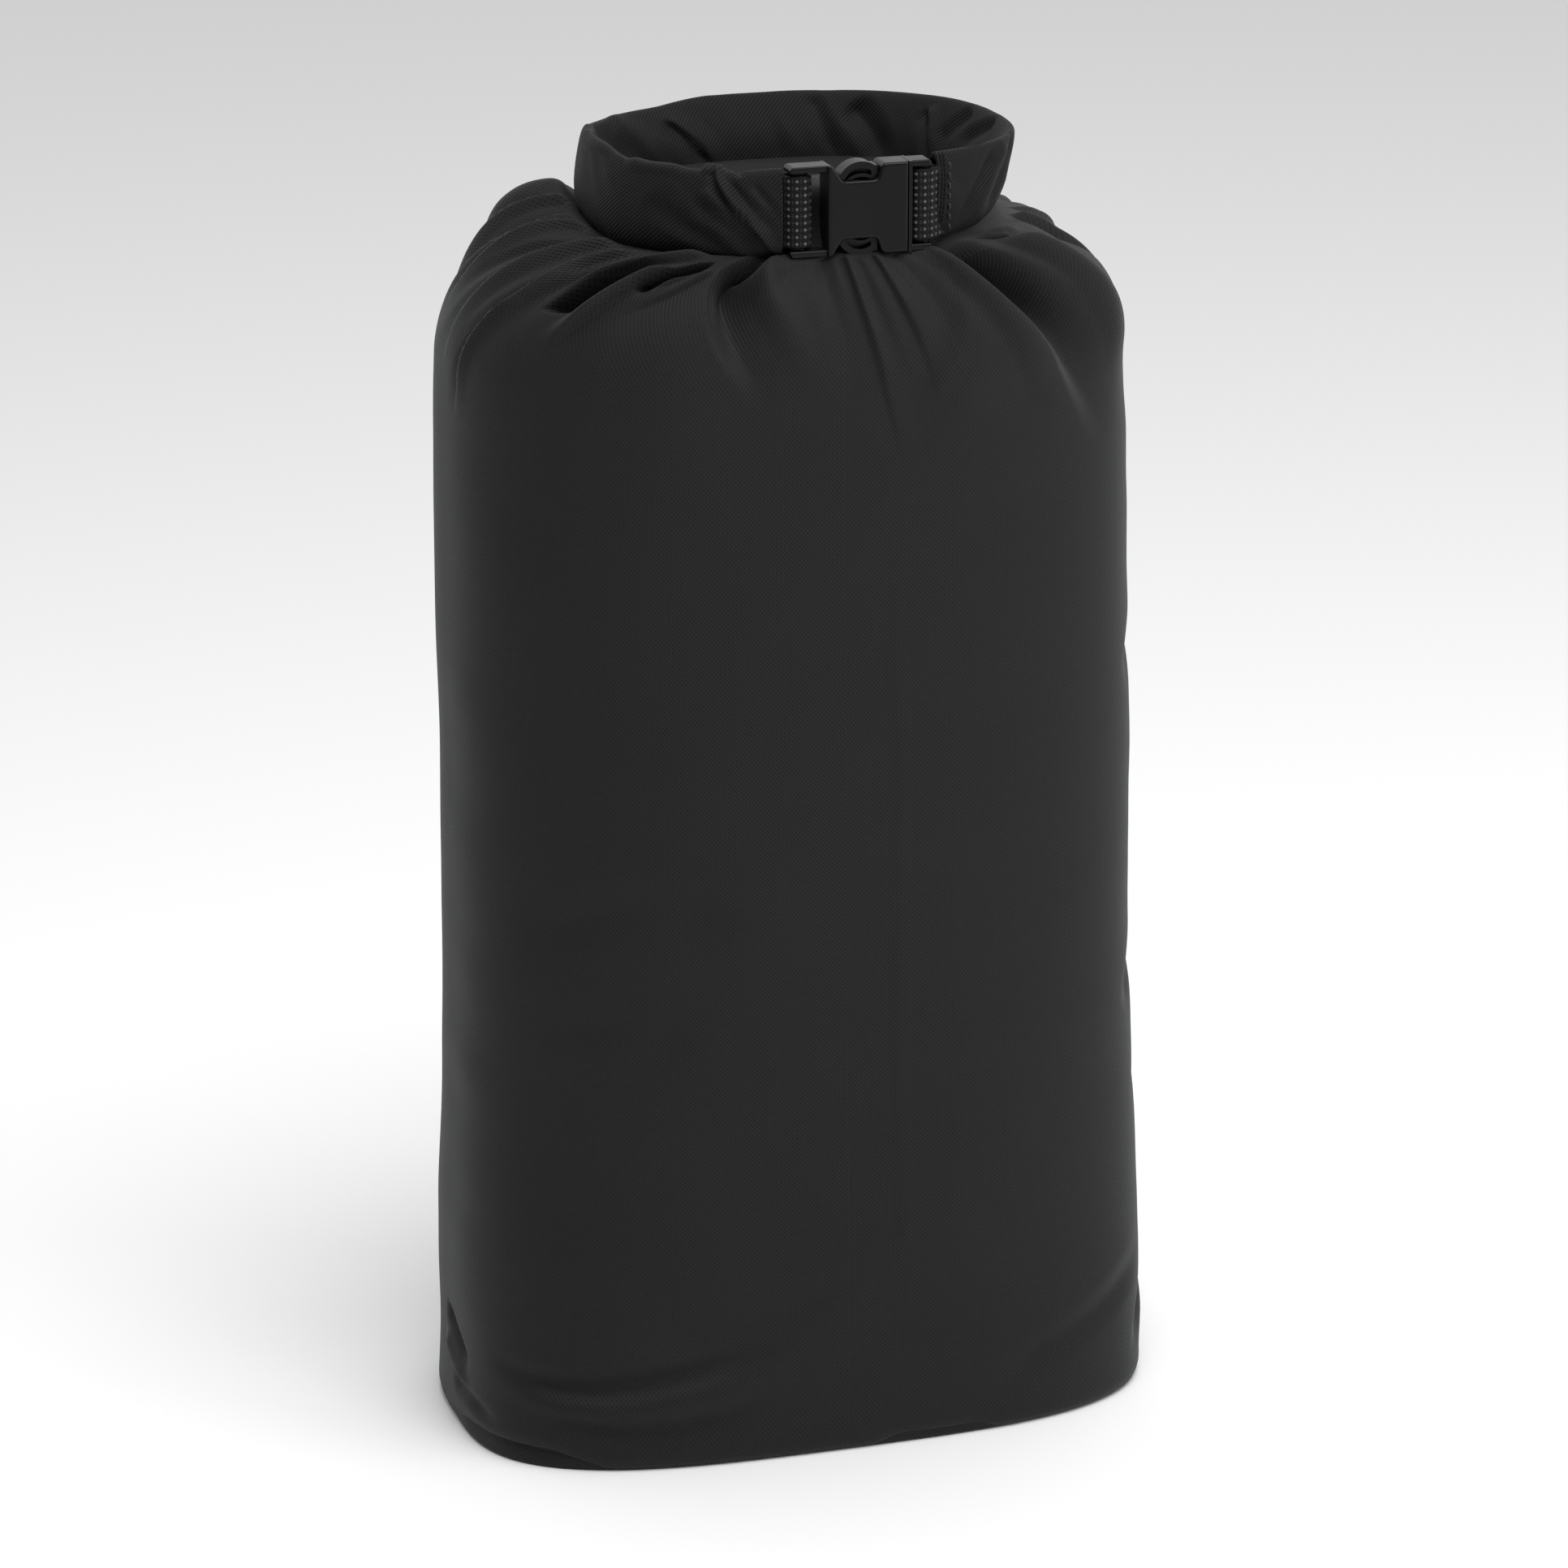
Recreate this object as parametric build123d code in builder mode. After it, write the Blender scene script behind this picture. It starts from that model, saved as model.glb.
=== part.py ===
from build123d import *
import math
import os

# Roll-top compression sack: an oval fabric tube on an oval base panel. The mouth is gathered,
# rolled down round a stiffener and bent into a ring, and a side-release buckle on two short
# webbing loops joins the two ends of the roll at the front.
# Millimetres. Origin on the floor at the centre of the base, +Z up, front towards -Y,
# +X to the right of someone facing the front.

# Bag
BAG_WIDTH = 198.0
BAG_DEPTH = 110.0
SQUARENESS = 2.6            # power of the superellipse that every plan outline follows
OUTLINE_POINTS = 32
FABRIC = 1.0                # wall of each soft shell
GAP = 0.1                   # clearance between pieces that lie against each other
SEAM_HEIGHT = 4.0           # base panel rises this far to meet the tube
BASE_ROUND = 3.0
SHOULDER_START = 300.0      # top of the straight tube
ROLL_BOTTOM = 335.0         # underside of the rolled mouth
DOME_SHARES = (0.0, 0.4, 0.7, 0.9, 1.0)     # of the shoulders' rise, where their sections are drawn

# Rolled mouth, seen from above as an oval ring that is open at the front
RING_CENTRE = (3.0, 1.5)
RING_WIDTH = 116.0
RING_DEPTH = 98.0
ROLL_THICKNESS = 9.0
ROLL_HEIGHT = 23.0
ROLL_ROUND = 2.5
ROLL_SPLIT_GAP = 0.4        # between the back of the roll and its two sliding ends
NECK_INSETS = (1.0, 2.0)    # of the neck from the ring's outer face, at its sides and its front
HOLLOW_HEIGHT = 21.6        # room inside the roll, over the width of the webbing
STIFFENER_HEIGHT = 16.0
STIFFENER_THICKNESS = 1.2

# Webbing
WEB_WIDTH = 19.0
WEB_THICKNESS = 1.4
WEB_TAIL = 12.0             # length of webbing caught inside the end of the roll
WEB_CLEARANCE = 0.3
LEFT_WEB_SHOWING = 1.3      # webbing between the end of the roll and the buckle
RIGHT_WEB_SHOWING = 1.8

# Side-release buckle: places along X from the left end of its female half
BUCKLE_START = -13.2
BUCKLE_Y = -42.3
BUCKLE_Z = 345.3
BUCKLE_HEIGHT = 23.8
BUCKLE_THICKNESS = 8.4
BUCKLE_ROUND = 0.8
FRAME_THICKNESS = 6.6       # of the slotted end frames that hold the webbing
FRAME_CORNER = 1.2
FRAME_ROUND = 0.5
FRAME_OVERLAP = 0.2         # how far the side bars run into the body they are moulded with
END_BAR_THICKNESS = 3.2
SLOT_HEIGHT = WEB_WIDTH + 1.4
FEMALE_BAR = (0.6, 4.9)
FEMALE_BODY = (10.0, 31.7)
WINDOW = (12.6, 24.0)
WINDOW_SLOPE = (3.0, 1.4)   # run of the outline's fall into a window and of its rise out
WINDOW_ROUND = 1.5
WINDOW_WAIST = 15.2         # height of the front and back skins between the windows
CAVITY_START = 13.0
CAVITY_HEIGHT = 20.4
CAVITY_THICKNESS = 5.8
CROSSBAR_START = 28.0
FLANGE = (31.9, 32.8)
FLANGE_THICKNESS = 7.6
MALE_BAR = (34.8, 38.3)
MALE_FIT = 0.3              # running clearance of the male half inside the cavity
GUIDE_START = 14.0
GUIDE_HEIGHT = 3.6
GUIDE_THICKNESS = 2.4

# Spring arms, measured from the buckle's start and mid height
ARM_ROOT = (30.0, 7.6)
ARM_CATCH = (23.7, 11.2)
ARM_ARC = ((14.2, 8.4), (18.4, 11.45), (22.8, 10.2))
ARM_RIB = ((15.4, 7.2), (18.4, 8.7), (22.4, 7.9))
ARM_BAND = 1.7
ARM_RIB_WIDTH = 0.9
ARM_WEB = 1.6               # thickness of the pad between the outer band and the inner rib
ARM_DEPTH = 5.2
ARM_KNUCKLE = 1.6
ARM_SWING = 0.4             # room each side of the arm where it leaves its root

# Seams
BINDING_HEIGHT = 9.0
BINDING_THICKNESS = 1.2
TAPE_WIDTH = 10.0
TAPE_THICKNESS = 0.6
SEAM_X = 16.0               # where the tube's closing seam runs down the front
THREAD = 0.5
STITCH_LENGTH = 1.9
STITCH_PITCH = 2.7
STITCH_COUNT = 7
HEM_INSET = 2.6             # from the end of the roll to the line of stitches

HALF_WIDTH = BAG_WIDTH / 2
HALF_DEPTH = BAG_DEPTH / 2
RING_HALF_WIDTH = RING_WIDTH / 2
RING_HALF_DEPTH = RING_DEPTH / 2
NECK_HALF_WIDTH = RING_HALF_WIDTH - NECK_INSETS[0]
NECK_HALF_DEPTH = RING_HALF_DEPTH - NECK_INSETS[1]
ARM_REACH = ARM_ARC[1][1] + ARM_BAND / 2    # the arms bow out to here, past the buckle's edges
NECK_RISE = BUCKLE_Z - ARM_REACH - GAP - SHOULDER_START     # tucks under the buckle
ROLL_MIDDLE = ROLL_BOTTOM + ROLL_HEIGHT / 2
LEFT_END = BUCKLE_START - LEFT_WEB_SHOWING
RIGHT_END = BUCKLE_START + MALE_BAR[1] + RIGHT_WEB_SHOWING
RING_FAR = RING_WIDTH       # comfortably past the ring on any side

# X along the buckle from its start, Y up, Z out of its front
BUCKLE_PLANE = Plane(origin=(BUCKLE_START, BUCKLE_Y, BUCKLE_Z), x_dir=(1, 0, 0), z_dir=(0, -1, 0))


def superellipse(half_width, half_depth, angle):
    """Point of a superellipse at a parameter angle."""
    power = 2 / SQUARENESS
    across = math.copysign(abs(math.cos(angle)) ** power, math.cos(angle))
    along = math.copysign(abs(math.sin(angle)) ** power, math.sin(angle))
    return half_width * across, half_depth * along


def oval(half_width, half_depth, centre=(0, 0)):
    """A superellipse face."""
    points = []
    for step in range(OUTLINE_POINTS):
        x, y = superellipse(half_width, half_depth, 2 * math.pi * step / OUTLINE_POINTS)
        points.append((centre[0] + x, centre[1] + y))
    with BuildSketch(Plane.XY) as face:
        with BuildLine():
            Spline(*points, periodic=True)
        make_face()
    return face.sketch_local


def bag_oval(inset):
    """The bag's outline, moved in by inset."""
    return oval(HALF_WIDTH - inset, HALF_DEPTH - inset)


def bag_band(outer_inset, thickness, floor, height):
    """An oval wall that follows the bag, its outer face set in from the bag's outline."""
    with BuildPart() as band:
        with BuildSketch(Plane.XY.offset(floor)):
            add(bag_oval(outer_inset))
            add(bag_oval(outer_inset + thickness), mode=Mode.SUBTRACT)
        extrude(amount=height)
    return band.part


def shoulder_dome(inset, rise):
    """The dome between tube and neck: each side is a quarter ellipse in section."""
    with BuildPart() as dome:
        for share in DOME_SHARES:
            spread = math.sqrt(1 - share**2)
            half_width = NECK_HALF_WIDTH + (HALF_WIDTH - NECK_HALF_WIDTH) * spread
            half_depth = NECK_HALF_DEPTH + (HALF_DEPTH - NECK_HALF_DEPTH) * spread
            centre = (RING_CENTRE[0] * (1 - spread), RING_CENTRE[1] * (1 - spread))
            with BuildSketch(Plane.XY.offset(SHOULDER_START + rise * share)):
                add(oval(half_width - inset, half_depth - inset, centre))
        loft()
    return dome.part


def ring_oval(inset):
    """The outline of the ring, moved in from its outer face."""
    return oval(RING_HALF_WIDTH - inset, RING_HALF_DEPTH - inset, RING_CENTRE)


def ring_front(x, inset):
    """Y of the ring's front at a place across it, moved in from its outer face."""
    reach = abs(x - RING_CENTRE[0]) / (RING_HALF_WIDTH - inset)
    return RING_CENTRE[1] - (RING_HALF_DEPTH - inset) * (1 - reach**SQUARENESS) ** (1 / SQUARENESS)


def ring_stretch(x_range, y_range, inset, height):
    """The part of the ring inside a rectangle, its walls moved in by inset."""
    width = x_range[1] - x_range[0]
    depth = y_range[1] - y_range[0]
    with BuildPart() as stretch:
        with BuildSketch(Plane.XY.offset(ROLL_MIDDLE - height / 2)):
            add(ring_oval(inset))
            add(ring_oval(ROLL_THICKNESS - inset), mode=Mode.SUBTRACT)
            with Locations((x_range[0] + width / 2, y_range[0] + depth / 2)):
                Rectangle(width, depth, mode=Mode.INTERSECT)
        extrude(amount=height)
    return stretch.part


def rolled_fabric(x_range, y_range):
    """A length of the roll: a rounded layer round a hollow for stiffener and webbing."""
    with BuildPart() as roll:
        add(ring_stretch(x_range, y_range, 0, ROLL_HEIGHT))
        rims = roll.faces().filter_by(Axis.Z).edges().filter_by(GeomType.LINE, reverse=True)
        fillet(rims, ROLL_ROUND)
        add(ring_stretch(x_range, y_range, FABRIC, HOLLOW_HEIGHT), mode=Mode.SUBTRACT)
    return roll.part


def stiffener(x_range, y_range):
    """A flat strip standing in the middle of the roll."""
    inset = (ROLL_THICKNESS - STIFFENER_THICKNESS) / 2
    return ring_stretch(x_range, y_range, inset, STIFFENER_HEIGHT)


def webbing_loop(bar, tail_side):
    """Webbing that leaves the roll, passes round an end bar and goes back into the roll."""
    round_radius = END_BAR_THICKNESS / 2
    reach = round_radius + WEB_CLEARANCE + WEB_THICKNESS / 2
    bar_left = BUCKLE_START + bar[0] + round_radius
    bar_right = BUCKLE_START + bar[1] - round_radius
    lift_x, wrap_x = (bar_left, bar_right) if tail_side < 0 else (bar_right, bar_left)
    tail_x = lift_x + tail_side * WEB_TAIL
    tail_y = ring_front(tail_x, ROLL_THICKNESS / 2)
    leg = WEB_THICKNESS / 2 + GAP / 2
    back = BUCKLE_Y + reach
    front = BUCKLE_Y - reach
    with BuildPart() as loop:
        with BuildSketch(Plane.XY.offset(BUCKLE_Z - WEB_WIDTH / 2)):
            with BuildLine():
                Polyline((tail_x, tail_y + leg), (lift_x, back), (wrap_x, back))
                ThreePointArc((wrap_x, back), (wrap_x - tail_side * reach, BUCKLE_Y), (wrap_x, front))
                Polyline((wrap_x, front), (lift_x, front), (tail_x, tail_y - leg))
                offset(amount=WEB_THICKNESS / 2, side=Side.BOTH)
            make_face()
        extrude(amount=WEB_WIDTH)
    return loop.part


def hem_stitches(x):
    """A column of lockstitches standing on the outer face of the roll."""
    slope = ring_front(x + 1, 0) - ring_front(x - 1, 0)
    tangent = Vector(2, slope, 0).normalized()
    outward = Vector(tangent.Y, -tangent.X, 0)
    origin = Vector(x, ring_front(x, 0), ROLL_MIDDLE) + outward * GAP
    with BuildPart() as stitches:
        with BuildSketch(Plane(origin=origin, x_dir=tangent, z_dir=outward)):
            with GridLocations(1, STITCH_PITCH, 1, STITCH_COUNT):
                SlotOverall(STITCH_LENGTH, THREAD, rotation=90)
        extrude(amount=THREAD / 2)
    return stitches.part


def end_frame(start, end, bar, outer_end):
    """Two side bars and the rounded end bar that the webbing passes round."""
    length = end - start
    with BuildPart() as frame:
        with BuildSketch(BUCKLE_PLANE):
            with Locations(((start + end) / 2, 0)):
                outline = Rectangle(length, BUCKLE_HEIGHT)
                fillet(outline.vertices().group_by(Axis.X)[outer_end], FRAME_CORNER)
                Rectangle(length, SLOT_HEIGHT, mode=Mode.SUBTRACT)
        extrude(amount=FRAME_THICKNESS / 2, both=True)
        fillet(frame.faces().filter_by(Axis.Y).edges(), FRAME_ROUND)
        with BuildSketch(Plane.XY.offset(BUCKLE_Z - SLOT_HEIGHT / 2)):
            with Locations((BUCKLE_START + (bar[0] + bar[1]) / 2, BUCKLE_Y)):
                SlotOverall(bar[1] - bar[0], END_BAR_THICKNESS)
        extrude(amount=SLOT_HEIGHT)
    return frame.part


def socket_outline():
    """The female body: full height at both ends, waisted between its windows."""
    half = BUCKLE_HEIGHT / 2
    waist = WINDOW_WAIST / 2
    edge = (
        (FEMALE_BODY[0], half),
        (WINDOW[0] - WINDOW_SLOPE[0] / 2, half),
        (WINDOW[0] + WINDOW_SLOPE[0] / 2, waist),
        (WINDOW[1] - WINDOW_SLOPE[1] / 2, waist),
        (WINDOW[1] + WINDOW_SLOPE[1] / 2, half),
        (FEMALE_BODY[1], half),
    )
    lower_edge = above_or_below(reversed(edge), -1)
    with BuildSketch(Plane.XY) as outline:
        Polygon(*edge, *lower_edge, align=None)
        window_corners = outline.vertices().filter_by_position(Axis.X, edge[1][0], edge[4][0])
        fillet(window_corners, WINDOW_ROUND)
    return outline.sketch_local


def centred_block(start, end, height, thickness):
    """A block on the buckle's mid plane, between two places along it."""
    with BuildPart() as block:
        with BuildSketch(BUCKLE_PLANE):
            with Locations(((start + end) / 2, 0)):
                Rectangle(end - start, height)
        extrude(amount=thickness / 2, both=True)
    return block.part


def above_or_below(points, side):
    """Points given for the upper arm, or their mirror image for the lower one."""
    return [(x, side * y) for x, y in points]


def curved_band(points, width):
    """A curved band with rounded ends, through three points along its middle."""
    with BuildSketch(Plane.XY) as band:
        with BuildLine():
            ThreePointArc(*points)
            offset(amount=width / 2, side=Side.BOTH)
        make_face()
    return band.sketch_local


def spring_arm(side):
    """A latch arm of the male half, above (side 1) or below (side -1) its guide blade."""
    root_x, root_y = ARM_ROOT
    catch_x, catch_y = ARM_CATCH
    half_band = ARM_BAND / 2
    stem = (
        (root_x, root_y - half_band),
        (root_x, root_y + half_band),
        (catch_x, root_y + ARM_BAND),
        (catch_x, catch_y),
        (catch_x - ARM_BAND, catch_y),
        (catch_x - ARM_BAND, root_y - half_band / 2),
    )
    pad = (ARM_RIB[0], *ARM_ARC, ARM_RIB[2], ARM_RIB[1])
    with BuildPart() as arm:
        with BuildSketch(BUCKLE_PLANE):
            add(curved_band(above_or_below(ARM_ARC, side), ARM_BAND))
            add(curved_band(above_or_below(ARM_RIB, side), ARM_RIB_WIDTH))
            Polygon(*above_or_below(stem, side), align=None)
            with Locations(*above_or_below([ARM_ROOT], side)):
                Circle(ARM_KNUCKLE)
        extrude(amount=ARM_DEPTH / 2, both=True)
        with BuildSketch(BUCKLE_PLANE):
            Polygon(*above_or_below(pad, side), align=None)
        extrude(amount=ARM_WEB / 2, both=True)
    return arm.part


# Base panel: a shallow pan that carries the load and meets the tube at its rim.
with BuildPart() as base_panel:
    with BuildSketch():
        add(bag_oval(0))
    extrude(amount=SEAM_HEIGHT)
    fillet(base_panel.faces().sort_by(Axis.Z)[0].edges(), BASE_ROUND)
    with BuildSketch(Plane.XY.offset(FABRIC)):
        add(bag_oval(BASE_ROUND))
    extrude(amount=SEAM_HEIGHT, mode=Mode.SUBTRACT)
base_panel.part.label = "base_panel"

# Binding tape over the raw edges of the base seam, standing up inside the tube.
with BuildPart() as base_seam_binding:
    add(bag_band(FABRIC + GAP, BINDING_THICKNESS, SEAM_HEIGHT + GAP, BINDING_HEIGHT))
base_seam_binding.part.label = "base_seam_binding"

# Line of thread that closes the base seam, on the inner face of its binding.
with BuildPart() as base_seam_thread:
    thread_inset = FABRIC + BINDING_THICKNESS + 2 * GAP
    add(bag_band(thread_inset, THREAD, SEAM_HEIGHT + BINDING_HEIGHT / 2, THREAD))
base_seam_thread.part.label = "base_seam_thread"

# Fabric tube, open at both ends.
with BuildPart() as body_panel:
    add(bag_band(0, FABRIC, SEAM_HEIGHT, SHOULDER_START - SEAM_HEIGHT))
body_panel.part.label = "body_panel"

# Felled edges of the tube's closing seam, flat against the inside of the front.
with BuildPart() as body_seam_tape:
    tape_floor = SEAM_HEIGHT + BINDING_HEIGHT + 2 * GAP
    tape_height = SHOULDER_START - tape_floor
    add(bag_band(FABRIC + GAP, TAPE_THICKNESS, tape_floor, tape_height))
    with BuildSketch(Plane.XY.offset(tape_floor)):
        with Locations((SEAM_X, -HALF_DEPTH)):
            Rectangle(TAPE_WIDTH, HALF_DEPTH)
    extrude(amount=tape_height, mode=Mode.INTERSECT)
body_seam_tape.part.label = "body_seam_tape"

# Shoulders and neck: the same fabric gathered in, its front folded across under the ring.
with BuildPart() as gathered_neck:
    add(shoulder_dome(0, NECK_RISE))
    add(shoulder_dome(FABRIC, NECK_RISE - FABRIC), mode=Mode.SUBTRACT)
gathered_neck.part.label = "gathered_neck"

# Rolled mouth in three lengths: the back stays on the neck, the two ends slide to the sides.
split_y = RING_CENTRE[1]
back_y = (split_y + ROLL_SPLIT_GAP / 2, RING_FAR)
front_y = (-RING_FAR, split_y - ROLL_SPLIT_GAP / 2)
whole_x = (-RING_FAR, RING_FAR)

with BuildPart() as roll_back:
    add(rolled_fabric(whole_x, back_y))
roll_back.part.label = "roll_back"

with BuildPart() as roll_left:
    add(rolled_fabric((-RING_FAR, LEFT_END), front_y))
roll_left.part.label = "roll_left"

with BuildPart() as roll_right:
    add(rolled_fabric((RIGHT_END, RING_FAR), front_y))
roll_right.part.label = "roll_right"

# Stiffener of the mouth, which the fabric is rolled round, in the same three lengths.
with BuildPart() as stiffener_back:
    add(stiffener(whole_x, back_y))
stiffener_back.part.label = "stiffener_back"

with BuildPart() as stiffener_left:
    add(stiffener((-RING_FAR, LEFT_END - WEB_TAIL), front_y))
stiffener_left.part.label = "stiffener_left"

with BuildPart() as stiffener_right:
    add(stiffener((RIGHT_END + WEB_TAIL, RING_FAR), front_y))
stiffener_right.part.label = "stiffener_right"

# Webbing loops that hold the two halves of the buckle.
with BuildPart() as webbing_left:
    add(webbing_loop(FEMALE_BAR, -1))
webbing_left.part.label = "webbing_left"

with BuildPart() as webbing_right:
    add(webbing_loop(MALE_BAR, 1))
webbing_right.part.label = "webbing_right"

# Stitches through the hem of each end of the roll.
with BuildPart() as hem_stitches_left:
    add(hem_stitches(LEFT_END - HEM_INSET))
hem_stitches_left.part.label = "hem_stitches_left"

with BuildPart() as hem_stitches_right:
    add(hem_stitches(RIGHT_END + HEM_INSET))
hem_stitches_right.part.label = "hem_stitches_right"

# Female half: slotted frame and a socket with a window above and below its waist.
with BuildPart() as buckle_female:
    with BuildSketch(BUCKLE_PLANE):
        add(socket_outline())
    extrude(amount=BUCKLE_THICKNESS / 2, both=True)
    fillet(buckle_female.faces().filter_by(Axis.Y).edges(), BUCKLE_ROUND)
    cavity_end = FLANGE[1]      # past the socket's open mouth
    cavity = centred_block(CAVITY_START, cavity_end, CAVITY_HEIGHT, CAVITY_THICKNESS)
    add(cavity, mode=Mode.SUBTRACT)
    add(end_frame(0, FEMALE_BODY[0] + FRAME_OVERLAP, FEMALE_BAR, outer_end=0))
buckle_female.part.label = "buckle_female"

# Male half: slotted frame, flange against the socket's mouth, crossbar and guide blade.
with BuildPart() as buckle_male:
    crossbar_height = CAVITY_HEIGHT - 2 * MALE_FIT
    crossbar_thickness = CAVITY_THICKNESS - 2 * MALE_FIT
    add(centred_block(CROSSBAR_START, FLANGE[0], crossbar_height, crossbar_thickness))
    add(centred_block(GUIDE_START, CROSSBAR_START, GUIDE_HEIGHT, GUIDE_THICKNESS))
    with BuildSketch(BUCKLE_PLANE):
        with Locations(*above_or_below([ARM_ROOT], 1), *above_or_below([ARM_ROOT], -1)):
            Circle(ARM_KNUCKLE + GAP)
            channel = ARM_ROOT[0] - CROSSBAR_START
            Rectangle(channel, ARM_BAND + 2 * ARM_SWING, align=(Align.MAX, Align.CENTER))
    extrude(amount=crossbar_thickness, both=True, mode=Mode.SUBTRACT)
    add(centred_block(FLANGE[0], FLANGE[1], BUCKLE_HEIGHT, FLANGE_THICKNESS))
    add(end_frame(FLANGE[1] - FRAME_OVERLAP, MALE_BAR[1], MALE_BAR, outer_end=-1))
buckle_male.part.label = "buckle_male"

# Latch arms: squeezed towards each other they clear the socket's mouth.
with BuildPart() as spring_arm_upper:
    add(spring_arm(1))
spring_arm_upper.part.label = "spring_arm_upper"

with BuildPart() as spring_arm_lower:
    add(spring_arm(-1))
spring_arm_lower.part.label = "spring_arm_lower"

pieces = (
    base_panel,
    base_seam_binding,
    base_seam_thread,
    body_panel,
    body_seam_tape,
    gathered_neck,
    roll_back,
    roll_left,
    roll_right,
    stiffener_back,
    stiffener_left,
    stiffener_right,
    webbing_left,
    webbing_right,
    hem_stitches_left,
    hem_stitches_right,
    buckle_female,
    buckle_male,
    spring_arm_upper,
    spring_arm_lower,
)

os.makedirs("parts", exist_ok=True)
for piece in pieces:
    export_step(piece.part, f"parts/{piece.part.label}.step")
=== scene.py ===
import math

import bmesh
import bpy
import numpy as np
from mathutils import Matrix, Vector


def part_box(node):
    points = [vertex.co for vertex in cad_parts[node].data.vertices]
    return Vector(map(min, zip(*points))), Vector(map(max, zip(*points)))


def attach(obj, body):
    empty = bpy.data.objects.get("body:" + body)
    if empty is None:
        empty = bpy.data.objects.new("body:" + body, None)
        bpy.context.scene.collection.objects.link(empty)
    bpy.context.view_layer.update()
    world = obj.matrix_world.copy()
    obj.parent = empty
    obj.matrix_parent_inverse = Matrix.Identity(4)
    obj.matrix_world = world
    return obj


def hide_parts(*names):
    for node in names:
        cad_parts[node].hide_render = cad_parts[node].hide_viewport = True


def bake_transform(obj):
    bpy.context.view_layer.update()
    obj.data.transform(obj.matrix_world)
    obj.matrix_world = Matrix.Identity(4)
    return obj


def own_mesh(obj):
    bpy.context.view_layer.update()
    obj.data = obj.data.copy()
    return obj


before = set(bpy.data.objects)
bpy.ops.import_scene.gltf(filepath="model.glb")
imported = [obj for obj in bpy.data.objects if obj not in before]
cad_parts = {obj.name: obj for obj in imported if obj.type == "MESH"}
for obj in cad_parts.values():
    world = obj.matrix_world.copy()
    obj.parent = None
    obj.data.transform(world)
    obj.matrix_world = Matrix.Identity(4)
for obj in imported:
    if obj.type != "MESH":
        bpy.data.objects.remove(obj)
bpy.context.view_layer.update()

# Looks of the roll-top sack. Shapes are worked out in millimetres, in the CAD frame, and turned
# into metres when a mesh is made. Front is -Y, +X is to the right of someone facing the front.
MM = 0.001


def box_mm(node):
    """A CAD node's lowest and highest corners, in millimetres."""
    low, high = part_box(node)
    return np.array(low) / MM, np.array(high) / MM


TUBE_LOW, TUBE_HIGH = box_mm("body_panel")
BACK_LOW, BACK_HIGH = box_mm("roll_back")
LEFT_LOW, LEFT_HIGH = box_mm("roll_left")
RIGHT_LOW, _ = box_mm("roll_right")
FEMALE_LOW, FEMALE_HIGH = box_mm("buckle_female")
_, MALE_HIGH = box_mm("buckle_male")
WEB_LOW, WEB_HIGH = box_mm("webbing_left")

HALF_WIDTH, HALF_DEPTH = TUBE_HIGH[0], TUBE_HIGH[1]
SEAM_Z, SHOULDER_Z = TUBE_LOW[2], TUBE_HIGH[2]
ROLL_LOW, ROLL_HIGH = BACK_LOW[2], BACK_HIGH[2]
ROLL_MIDDLE = (ROLL_LOW + ROLL_HIGH) / 2
ROLL_HALF_HEIGHT = (ROLL_HIGH - ROLL_LOW) / 2
RING_CENTRE = np.array([BACK_LOW[0] + BACK_HIGH[0], LEFT_LOW[1] + BACK_HIGH[1]]) / 2
RING_HALF_WIDTH = (BACK_HIGH[0] - BACK_LOW[0]) / 2
RING_HALF_DEPTH = (BACK_HIGH[1] - LEFT_LOW[1]) / 2
LEFT_END, RIGHT_END = LEFT_HIGH[0], RIGHT_LOW[0]
BUCKLE_Y = (FEMALE_LOW[1] + FEMALE_HIGH[1]) / 2
BUCKLE_Z = (FEMALE_LOW[2] + FEMALE_HIGH[2]) / 2
BASE_SQUARENESS = 3.15      # power of the bag's oval outline at its base
SQUARENESS = 2.6            # and above it
RING_SQUARENESS = 2.4

# Lengths along the fabric, up from the base seam
TUBE_LENGTH = SHOULDER_Z - SEAM_Z
DOME_LENGTH = 46.0
FLOOR_LENGTH = 46.0
FLOOR_REACH = 0.97          # share of the way to the middle that the fabric inside the ring covers
FLOOR_PUFF = 4.0            # how far it bulges up all round
FLOOR_RISE = 13.0           # how far it stands up behind the buckle
NECK_LIP = 5.5              # and how far it runs up into the roll everywhere else
NECK_Z = ROLL_LOW - 1.0
NECK_HALF_WIDTH = RING_HALF_WIDTH - 3.0
NECK_HALF_DEPTH = RING_HALF_DEPTH - 3.5
TUBE_TAPER = 0.062          # share of its width that the tube loses between base and shoulders
DEPTH_TAPER = 0.02          # and of its depth
SEAM_TUCK, TUCK_LENGTH = 1.3, 4.0   # the base seam draws the tube in, over a length of fabric
BASE_LEAN, TOP_LEAN = 0.8, -1.2     # how far the bag's middle stands off to the side
SIDE_SWEEP = 0.07           # how far the gathers draw the sides of the bag towards the front


def smooth(edge0, edge1, value):
    """0 on edge0's side, 1 on edge1's side, and a smooth ramp between the two edges."""
    share = np.clip((value - edge0) / (edge1 - edge0), 0, 1)
    return share * share * (3 - 2 * share)


# --------------------------------------------------------------------------- meshes and surfaces

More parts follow.
